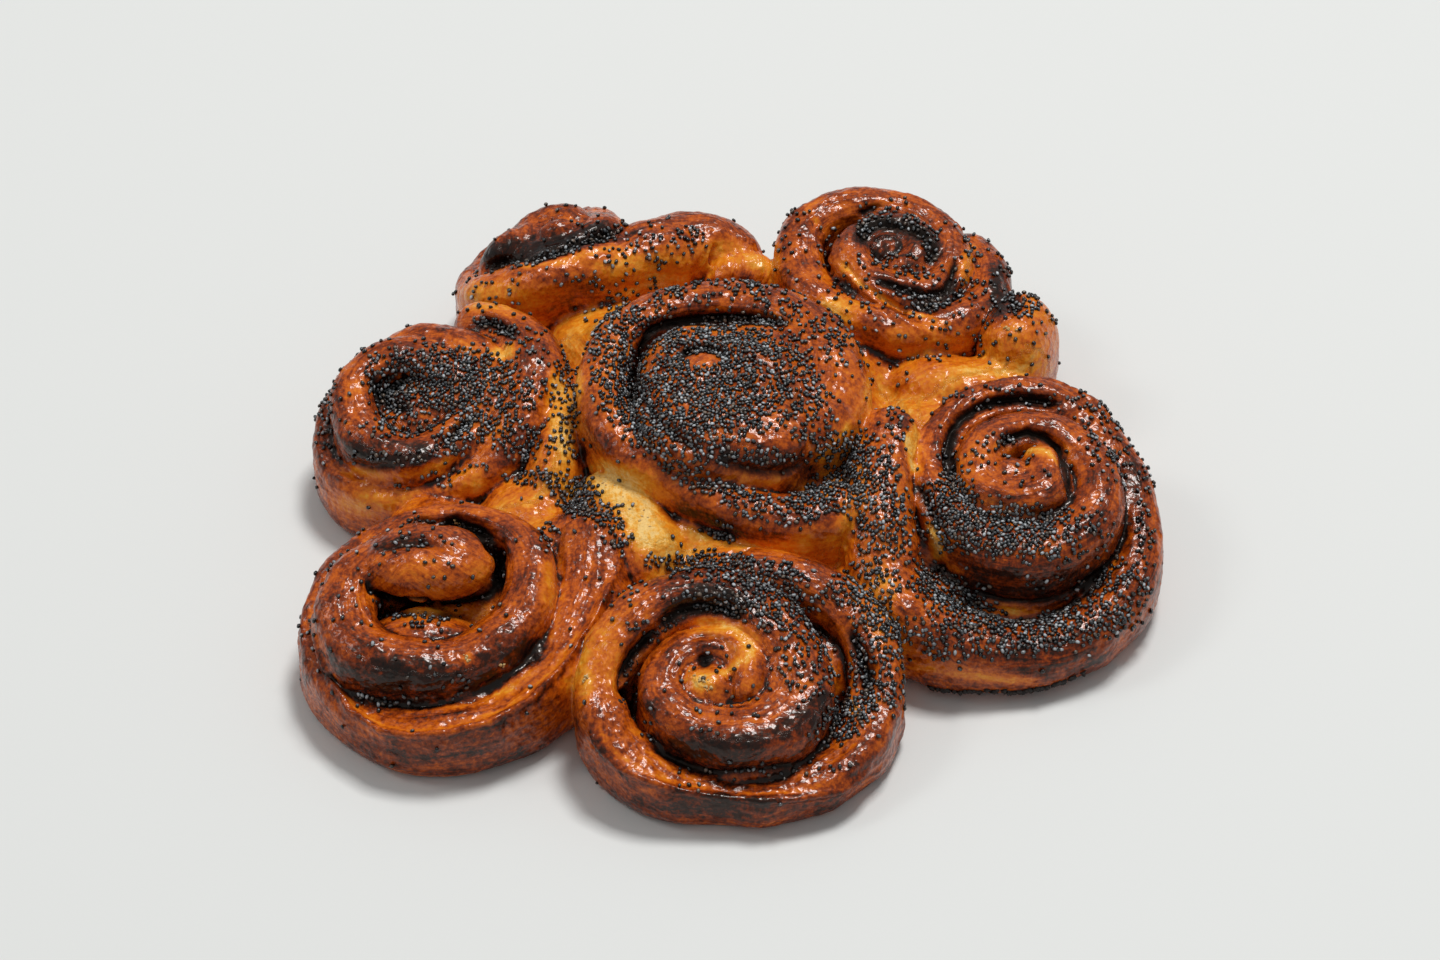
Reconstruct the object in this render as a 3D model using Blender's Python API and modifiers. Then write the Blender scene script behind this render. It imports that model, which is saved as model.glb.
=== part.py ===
"""A pull-apart poppy seed bun: seven spiral rolls baked together into one flower-shaped loaf.

Each roll is a strip of dough wound up on its side, so its top shows a spiral ridge.
The strip is lofted from a table of stations along its winding, and the rolls, a thick
foot under each of them and the dough between them are fused into one closed solid.
The largest poppy seeds are then fused to the crust.
The frame is in metres: +Z up, the origin under the middle of the loaf, at its flat base.
"""
import math

import bmesh
import bpy
import numpy as np
from mathutils import Matrix, Vector
from mathutils.bvhtree import BVHTree

MM = 0.001

# Each roll has a middle in millimetres and stations along its strip, from the inner end out.
# A station is the bearing round the middle in degrees, the distance from it, the height of
# the crest above the base and half the width of the strip. Falling bearings wind clockwise.
ROLLS = {
    "middle_roll": {
        "middle": (1, 16),
        "stations": (
            (-80, 3, 49, 8), (60, 8, 50, 9), (180, 12, 49, 9.5), (270, 12, 46, 9), (335, 17, 45, 11),
            (385, 25, 46, 13), (425, 33, 47, 10), (455, 37, 47, 7.5), (500, 36, 45, 7.5), (545, 32, 42, 7),
            (585, 25, 39, 6.5), (618, 26, 37, 6.5), (645, 33, 36, 7), (665, 38, 36, 7.5), (683, 38, 36, 7),
        ),
    },
    "right_roll": {
        "middle": (76, -1),
        "stations": (
            (112, 5, 37, 4.5), (-3, 4, 38, 6), (-89, 8, 37, 7), (-176, 13, 36, 6.5), (-270, 15.5, 37.5, 6),
            (-363, 17, 34, 7), (-450, 20.5, 30.5, 9), (-538, 25, 33, 5.5), (-630, 30, 37, 6.5),
            (-682, 27, 30.5, 6), (-724, 28, 24, 6), (-770, 34, 18.5, 7), (-812, 41, 16, 8.5),
            (-854, 47, 25, 9.5), (-882, 40.5, 34, 9), (-912, 37.5, 38, 8), (-933, 40, 39, 7.5),
        ),
    },
    "front_roll": {
        "middle": (-2, -69),
        "stations": (
            (-45, 2, 27, 4), (30, 6.5, 29, 5), (100, 12, 30, 6), (176, 15, 27, 6), (254, 11, 24, 7),
            (333, 15.5, 25, 9.5), (377, 18, 28.5, 10), (419, 21, 33, 9.5), (461, 26, 36, 7.5),
            (505, 29, 33, 7.5), (542, 30, 25, 6), (589, 23.5, 15, 6), (632, 20, 11.5, 6),
            (678, 26, 12, 6.5), (716, 35, 16, 7), (745, 41, 23, 6.5), (767, 41.5, 29, 7), (789, 39, 32, 7),
            (808, 37, 32, 7.5),
        ),
    },
    "front_left_roll": {
        "middle": (-75, -40),
        "stations": (
            (-163, 9, 35, 4.5), (-75, 3, 36.5, 6), (-15, 10, 36, 5.5), (14, 11.5, 35.5, 5.5),
            (49, 11, 36, 5.5), (96, 11.5, 36.5, 6.5), (150, 17, 34, 7), (180, 20, 32, 7.5),
            (224, 22, 29, 7.5), (269, 20, 28, 7),
            (320, 22, 29, 7.5), (359, 25, 32.5, 6.5), (399, 27, 34, 6), (450, 25, 32, 5.5), (500, 27, 25, 5),
            (545, 28, 18, 5), (590, 29, 16, 5.5), (630, 32, 16.5, 7), (675, 33, 20, 8), (709, 37, 25, 9.5),
            (739, 42.5, 30, 10), (753, 49, 34, 9),
        ),
    },
    "left_roll": {
        "middle": (-80, 30),
        "stations": (
            (200, 2, 31, 8), (20, 7, 32, 9), (80, 13.5, 36, 7.5), (135, 17.5, 36.5, 6), (180, 18.5, 34, 6),
            (240, 17, 30, 6.5), (290, 15, 30, 6.5), (335, 15, 32, 6), (390, 20, 35, 8), (440, 22, 35.5, 6.5),
            (490, 22.5, 30, 6), (540, 23.5, 21.5, 6), (590, 23, 19, 6), (635, 20, 21, 6), (675, 23, 27, 7.5),
            (710, 25, 34, 9.5), (745, 31, 37, 9), (775, 35, 36, 6.5), (800, 34, 33, 6),
        ),
    },
    "back_left_roll": {
        "middle": (-48, 95),
        "stations": (
            (30, 2, 42, 6), (10, 5, 42, 6), (100, 6, 39, 6), (178, 8, 35, 6.5), (240, 7, 38, 6),
            (300, 8, 40, 6), (360, 13.5, 39, 6), (450, 16, 26, 6.5), (510, 19, 19, 6.5), (550, 21.5, 22, 6),
            (580, 22, 31, 7.5), (610, 18, 37, 8), (640, 15.5, 39, 8), (693, 20, 39, 9), (718, 32, 38, 10),
            (720, 46, 36, 9.5), (710, 51, 31, 8),
        ),
    },
    "back_right_roll": {
        "middle": (45, 82),
        "stations": (
            (180, 2, 40, 5), (330, 4, 40, 5.5), (440, 9, 42, 5), (540, 12, 41, 5.5), (590, 12, 39, 6),
            (640, 12, 37.5, 6.5), (690, 13, 37, 6.5), (735, 15, 38, 6), (790, 19, 39.5, 6),
            (830, 23.5, 40.5, 6), (868, 28, 39, 6.5), (905, 25.5, 36, 6.5), (945, 21.5, 35, 6.5),
            (985, 21, 33.5, 7), (1020, 23, 33, 6.5), (1060, 25, 33, 6.5), (1090, 24, 33, 6),
            (1130, 25, 31, 6),
        ),
    },
}

# Lumps of dough under and inside the rolls: middle x and y, half length, half width, height
# and the bearing of the length. The feet come first, then the hearts that fill the spirals,
# and the last eleven fill the joints round the middle roll.
LUMPS = (
    (2, 14, 44, 42, 33, 0), (72, -6, 36, 36, 15, 0), (0, -66, 31, 22, 12, 0), (-74, -43, 30, 29, 14, 0),
    (-78, 29, 28, 26, 14, 0), (-46, 92, 26, 29, 20, 0), (46, 82, 29, 28, 25, 0), (78, 69, 16, 11, 23, 75),
    (2, 18, 26, 25, 47, 0), (76, -4, 17, 16, 33, 0), (1, -69, 13, 11, 23, 0), (-76, -49, 17, 13, 27, 0),
    (-80, 32, 18, 16, 31, 0), (-48, 95, 14, 13, 34, 0), (45, 82, 15, 14, 34, 0),
    (-27, -19, 17, 9, 30, -52), (-45, 18, 24, 10, 31, 84), (-24, 56, 16, 8, 30, 28), (27, 52, 14, 8, 33, -42),
    (3, 67, 22, 15, 27, 0), (-51, 1, 20, 16, 24, 90), (50, 33, 20, 15, 23, 90), (-24, -35, 12, 11, 21, 0),
    (31, -28, 12, 12, 22, 0), (68, 52, 22, 18, 18, 75), (-41, 45, 15, 11, 23, 80),
)

# The dough that holds two rolls together: both ends, the half width and the height.
BRIDGES = (
    ((-72, 30), (0, 16), 15, 27), ((-70, -36), (-6, 8), 15, 27), ((2, -54), (2, 6), 20, 27),
    ((66, -8), (10, 10), 20, 27), ((46, 76), (8, 24), 18, 27), ((-40, 80), (-4, 24), 20, 28),
    ((-76, 26), (-74, -36), 14, 20), ((-62, -40), (-6, -56), 14, 18), ((8, -58), (60, -16), 13, 19),
    ((72, 4), (54, 74), 15, 20), ((38, 88), (-34, 88), 14, 25), ((-50, 78), (-74, 38), 15, 22),
)

CREST_ROUNDNESS = 0.9      # height of the rounded crest for its half width
TOE_HEIGHT = 7.0           # how far up the tucked lower edge of a strip curls
LUMP_SUNK = 6.0            # what a lump reaches below the base
SUNK = 0.6                 # what a strip reaches below the base before the base is cut flat
STATION_STEP = 3.0         # spacing of the lofted sections along a strip
SECTION_POINTS = 20
END_ROUND = 7.0            # length of the rounded ends of a strip
END_AREA = 0.02            # square of the least width left at the very end of a strip
WALK_SAMPLES = 800         # places read along a table of stations
LUMP_SEGMENTS = 32
LUMP_RINGS = 16
LOAF_MIDDLE = (0.4, 12.6)  # the middle of the loaf in the layout above, which becomes the origin

FUSE_VOXEL = 1.25
SMOOTH_FACTOR = 0.5
SMOOTH_ROUNDS = 4
BASE_SNAP = 0.3            # points this close to the base plane are laid on it
CUT_TOLERANCE = 0.0001     # millimetres within which a point counts as lying on the base plane
CRUST_TRIANGLES = 6300

SHARP_ANGLE = 40.0         # degrees between two faces where the shading breaks

SEED_LENGTH = 1.5
SEED_SHAPE = (1.0, 0.8, 0.75)
SEED_COUNT = 105
SEED_BEARING = 137.508     # degrees between the headings of one seed and the next
SEED_DROP_HEIGHT = 100.0   # the height from which each seed is dropped on to the crust
SEED_STEEPEST = 0.5        # least upward part of the crust's normal where a seed stays

# Where seeds lie thickest: middle x and y, reach, and share of the seeds.
SPRINKLES = (
    (0, 18, 24, 30), (-24, 14, 12, 8), (10, -14, 16, 8), (-78, 34, 17, 18), (-55, 24, 13, 7),
    (70, -22, 17, 12), (82, -46, 16, 9), (40, -12, 13, 7), (14, -42, 14, 10), (30, -60, 11, 6),
    (-34, -14, 11, 6), (-20, 84, 15, 6), (42, 86, 14, 6), (74, 26, 14, 3),
)

CRUST_COLOUR = (0.32, 0.085, 0.018, 1.0)


def smooth_table(stations, count):
    """Reads a table of stations at evenly spaced places with a cubic through its rows."""
    rows = np.array(stations, float)
    knots = np.arange(len(rows), dtype=float)
    places = np.linspace(0, len(rows) - 1, count)
    slopes = np.gradient(rows, knots, axis=0)
    low = np.minimum(places.astype(int), len(rows) - 2)
    t = (places - low)[:, None]
    a, b = rows[low], rows[low + 1]
    ma, mb = slopes[low], slopes[low + 1]
    return (
        (2 * t**3 - 3 * t**2 + 1) * a + (t**3 - 2 * t**2 + t) * ma
        + (3 * t**2 - 2 * t**3) * b + (t**3 - t**2) * mb
    )


def walk_strip(roll):
    """Gives the middle line of a roll's strip with its crest height and half width, evenly stepped."""
    fine = smooth_table(roll["stations"], WALK_SAMPLES)
    bearing = np.radians(fine[:, 0])
    x = roll["middle"][0] + fine[:, 1] * np.cos(bearing)
    y = roll["middle"][1] + fine[:, 1] * np.sin(bearing)
    run = np.concatenate([[0], np.cumsum(np.hypot(np.diff(x), np.diff(y)))])
    steps = np.linspace(0, run[-1], int(run[-1] / STATION_STEP) + 2)
    columns = [np.interp(steps, run, values) for values in (x, y, fine[:, 2], fine[:, 3])]
    return np.column_stack(columns), steps


def loft_strip(name, roll):
    """Lofts a strip: a rounded crest, straight sides and a tucked foot, carried along its winding."""
    line, steps = walk_strip(roll)
    heading = np.gradient(line[:, :2], axis=0)
    heading /= np.linalg.norm(heading, axis=1)[:, None]
    side = np.column_stack([-heading[:, 1], heading[:, 0]])
    near_end = np.minimum(np.minimum(steps, steps[-1] - steps) / END_ROUND, 1.0)
    taper = np.sqrt(np.clip(1 - (1 - near_end) ** 2, END_AREA, 1))
    half = line[:, 3] * taper
    cap = half * CREST_ROUNDNESS
    crest = line[:, 2] - line[:, 3] * CREST_ROUNDNESS + cap
    angle = np.linspace(0, 2 * math.pi, SECTION_POINTS, endpoint=False)
    across = np.cos(angle)[None, :] * half[:, None]
    top = crest[:, None] - cap[:, None] * (1 - np.sin(angle))[None, :]
    foot = (TOE_HEIGHT + (TOE_HEIGHT + SUNK) * np.sin(angle))[None, :]
    height = np.where(np.sin(angle)[None, :] >= 0, top, np.minimum(foot, crest[:, None] - cap[:, None]))
    points = np.empty((len(line), SECTION_POINTS, 3))
    points[..., 0] = line[:, None, 0] + side[:, None, 0] * across
    points[..., 1] = line[:, None, 1] + side[:, None, 1] * across
    points[..., 2] = height
    mesh = bmesh.new()
    rings = [[mesh.verts.new(Vector(point) * MM) for point in ring] for ring in points]
    for ring, following in zip(rings, rings[1:]):
        for index in range(SECTION_POINTS):
            after = (index + 1) % SECTION_POINTS
            mesh.faces.new((ring[index], ring[after], following[after], following[index]))
    mesh.faces.new(rings[0][::-1])
    mesh.faces.new(rings[-1])
    bmesh.ops.recalc_face_normals(mesh, faces=mesh.faces[:])
    return mesh_object(name, mesh)


def mesh_object(name, mesh):
    data = bpy.data.meshes.new(name)
    mesh.to_mesh(data)
    mesh.free()
    made = bpy.data.objects.new(name, data)
    bpy.context.scene.collection.objects.link(made)
    return made


def make_lump(name, middle_x, middle_y, half_length, half_width, height, bearing):
    """A flattened ball of dough that stands partly below the base plane."""
    mesh = bmesh.new()
    bmesh.ops.create_uvsphere(mesh, u_segments=LUMP_SEGMENTS, v_segments=LUMP_RINGS, radius=1.0)
    depth = height + LUMP_SUNK
    size = Matrix.Diagonal((half_length, half_width, depth / 2, 1))
    place = Matrix.Translation((middle_x, middle_y, height - depth / 2))
    turn = Matrix.Rotation(math.radians(bearing), 4, "Z")
    bmesh.ops.transform(mesh, matrix=Matrix.Scale(MM, 4) @ place @ turn @ size, verts=mesh.verts)
    return mesh_object(name, mesh)


def make_bridge(name, start, end, half_width, height):
    """A long low lump of dough between the middles of two rolls."""
    start, end = Vector(start), Vector(end)
    middle = (start + end) / 2
    reach = (end - start).length / 2 + half_width
    bearing = math.degrees(math.atan2(end.y - start.y, end.x - start.x))
    return make_lump(name, middle.x, middle.y, reach, half_width, height, bearing)


def evaluated_mesh(source):
    """Swaps the object's mesh for the one its modifiers make."""
    graph = bpy.context.evaluated_depsgraph_get()
    data = bpy.data.meshes.new_from_object(source.evaluated_get(graph))
    source.modifiers.clear()
    old = source.data
    source.data = data
    bpy.data.meshes.remove(old)


def join_pieces(name, pieces):
    mesh = bmesh.new()
    for piece in pieces:
        mesh.from_mesh(piece.data)
        bpy.data.objects.remove(piece)
    return mesh_object(name, mesh)


def keep_largest_body(mesh):
    """Drops the walls of inner hollows and loose scraps, so that one connected skin is left."""
    unseen = set(mesh.verts)
    bodies = []
    while unseen:
        front = [unseen.pop()]
        body = list(front)
        while front:
            vert = front.pop()
            for edge in vert.link_edges:
                other = edge.other_vert(vert)
                if other in unseen:
                    unseen.discard(other)
                    front.append(other)
                    body.append(other)
        bodies.append(body)
    bodies.sort(key=len)
    for body in bodies[:-1]:
        bmesh.ops.delete(mesh, geom=body, context="VERTS")


def cut_base_flat(loaf):
    """Cuts the loaf at the base plane, keeps its outer skin and closes it with a flat face."""
    mesh = bmesh.new()
    mesh.from_mesh(loaf.data)
    geometry = mesh.verts[:] + mesh.edges[:] + mesh.faces[:]
    bmesh.ops.bisect_plane(
        mesh, geom=geometry, dist=CUT_TOLERANCE * MM, plane_co=(0, 0, 0), plane_no=(0, 0, 1), clear_inner=True
    )
    keep_largest_body(mesh)
    rim = [edge for edge in mesh.edges if edge.is_boundary]
    bmesh.ops.triangle_fill(mesh, edges=rim, use_beauty=True, normal=(0, 0, -1))
    bmesh.ops.triangulate(mesh, faces=mesh.faces[:])
    bmesh.ops.recalc_face_normals(mesh, faces=mesh.faces[:])
    mesh.to_mesh(loaf.data)
    mesh.free()


def fuse_loaf(pieces):
    """Fuses strips, feet and bridges into one closed skin and brings it to its triangle budget."""
    loaf = join_pieces("bun", pieces)
    fuse = loaf.modifiers.new("fuse", "REMESH")
    fuse.mode = "VOXEL"
    fuse.voxel_size = FUSE_VOXEL * MM
    soften = loaf.modifiers.new("soften", "SMOOTH")
    soften.factor = SMOOTH_FACTOR
    soften.iterations = SMOOTH_ROUNDS
    evaluated_mesh(loaf)
    cut_base_flat(loaf)
    thin = loaf.modifiers.new("thin", "DECIMATE")
    thin.ratio = CRUST_TRIANGLES / len(loaf.data.polygons)
    evaluated_mesh(loaf)
    for vert in loaf.data.vertices:
        if vert.co.z < BASE_SNAP * MM:
            vert.co.z = 0.0
    return loaf


def seed_places():
    """Spreads the seeds over the sprinkled patches, each patch filled as a sunflower head is."""
    whole = sum(patch[3] for patch in SPRINKLES)
    for x, y, reach, share in SPRINKLES:
        count = round(SEED_COUNT * share / whole)
        for index in range(count):
            distance = reach * math.sqrt((index + 0.5) / count)
            bearing = math.radians(index * SEED_BEARING)
            yield x + distance * math.cos(bearing), y + distance * math.sin(bearing)


def make_seeds(crust):
    """Lays each seed on the crust below its place, half sunk and turned to lie along the surface."""
    skin = bmesh.new()
    skin.from_mesh(crust.data)
    tree = BVHTree.FromBMesh(skin)
    seeds = bpy.data.collections.new("seeds")
    bpy.context.scene.collection.children.link(seeds)
    for index, (x, y) in enumerate(seed_places()):
        above = Vector((x, y, SEED_DROP_HEIGHT)) * MM
        spot, normal, _, _ = tree.ray_cast(above, Vector((0, 0, -1)))
        if spot is None or normal.z < SEED_STEEPEST:
            continue
        mesh = bmesh.new()
        bmesh.ops.create_icosphere(mesh, subdivisions=1, radius=SEED_LENGTH / 2 * MM)
        lie = normal.to_track_quat("Z", "X").to_matrix().to_4x4()
        heading = Matrix.Rotation(math.radians(index * SEED_BEARING), 4, "Z")
        shape = Matrix.Diagonal((*SEED_SHAPE, 1))
        bmesh.ops.transform(mesh, matrix=Matrix.Translation(spot) @ lie @ heading @ shape, verts=mesh.verts)
        seed = mesh_object("seed_%03d" % index, mesh)
        bpy.context.scene.collection.objects.unlink(seed)
        seeds.objects.link(seed)
    skin.free()
    return seeds


def fuse_seeds(loaf, seeds):
    """Joins the seeds to the crust with one union and removes them afterwards."""
    union = loaf.modifiers.new("seeds", "BOOLEAN")
    union.operation = "UNION"
    union.operand_type = "COLLECTION"
    union.collection = seeds
    union.solver = "MANIFOLD"
    evaluated_mesh(loaf)
    for seed in list(seeds.objects):
        bpy.data.objects.remove(seed)
    bpy.data.collections.remove(seeds)
    mesh = bmesh.new()
    mesh.from_mesh(loaf.data)
    keep_largest_body(mesh)
    mesh.to_mesh(loaf.data)
    mesh.free()


def crust_material():
    material = bpy.data.materials.new("egg_washed_crust")
    material.use_nodes = True
    shader = material.node_tree.nodes["Principled BSDF"]
    shader.inputs["Base Color"].default_value = CRUST_COLOUR
    shader.inputs["Roughness"].default_value = 0.35
    shader.inputs["Metallic"].default_value = 0.0
    return material


def main():
    for old in list(bpy.data.objects):
        bpy.data.objects.remove(old)
    home = bpy.data.collections.new("poppy_seed_bun")
    bpy.context.scene.collection.children.link(home)
    pieces = [loft_strip(name, roll) for name, roll in ROLLS.items()]
    pieces += [make_lump("lump_%d" % index, *lump) for index, lump in enumerate(LUMPS)]
    pieces += [make_bridge("bridge_%d" % index, *bridge) for index, bridge in enumerate(BRIDGES)]
    loaf = fuse_loaf(pieces)
    fuse_seeds(loaf, make_seeds(loaf))
    loaf.data.transform(Matrix.Translation((-LOAF_MIDDLE[0] * MM, -LOAF_MIDDLE[1] * MM, 0)))
    loaf.data.materials.clear()
    loaf.data.materials.append(crust_material())
    loaf.data.shade_smooth()
    loaf.data.set_sharp_from_angle(angle=math.radians(SHARP_ANGLE))
    bpy.context.scene.collection.objects.unlink(loaf)
    home.objects.link(loaf)


main()
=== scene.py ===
import math

import bpy
import numpy as np
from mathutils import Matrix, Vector
from mathutils.bvhtree import BVHTree


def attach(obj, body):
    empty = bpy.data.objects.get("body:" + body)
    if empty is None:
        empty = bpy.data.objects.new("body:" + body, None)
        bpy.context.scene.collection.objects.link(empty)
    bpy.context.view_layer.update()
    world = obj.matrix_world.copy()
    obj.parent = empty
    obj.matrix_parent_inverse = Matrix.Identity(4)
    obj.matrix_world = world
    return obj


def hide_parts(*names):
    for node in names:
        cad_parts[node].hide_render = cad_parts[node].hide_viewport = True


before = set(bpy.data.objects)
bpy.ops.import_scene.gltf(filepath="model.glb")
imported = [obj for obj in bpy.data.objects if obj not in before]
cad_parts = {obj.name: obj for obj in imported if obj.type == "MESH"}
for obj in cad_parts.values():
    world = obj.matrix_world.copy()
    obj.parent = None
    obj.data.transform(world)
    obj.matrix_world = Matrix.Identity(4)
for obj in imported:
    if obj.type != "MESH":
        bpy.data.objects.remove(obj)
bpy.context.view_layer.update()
print("frame loaded")

mm = 0.001

# the picture: a 1440 x 960 frame seen from 42 degrees above, 1 m away
picture = {
    "width": 1440,
    "height": 960,
    "focal": 3930.0,          # in picture points
    "elevation": 42.0,
    "distance": 1000.0,       # mm from the aim
    "aim": (-3.2, -12.6, 29.1),
    "sensor": 36.0,
}

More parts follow.
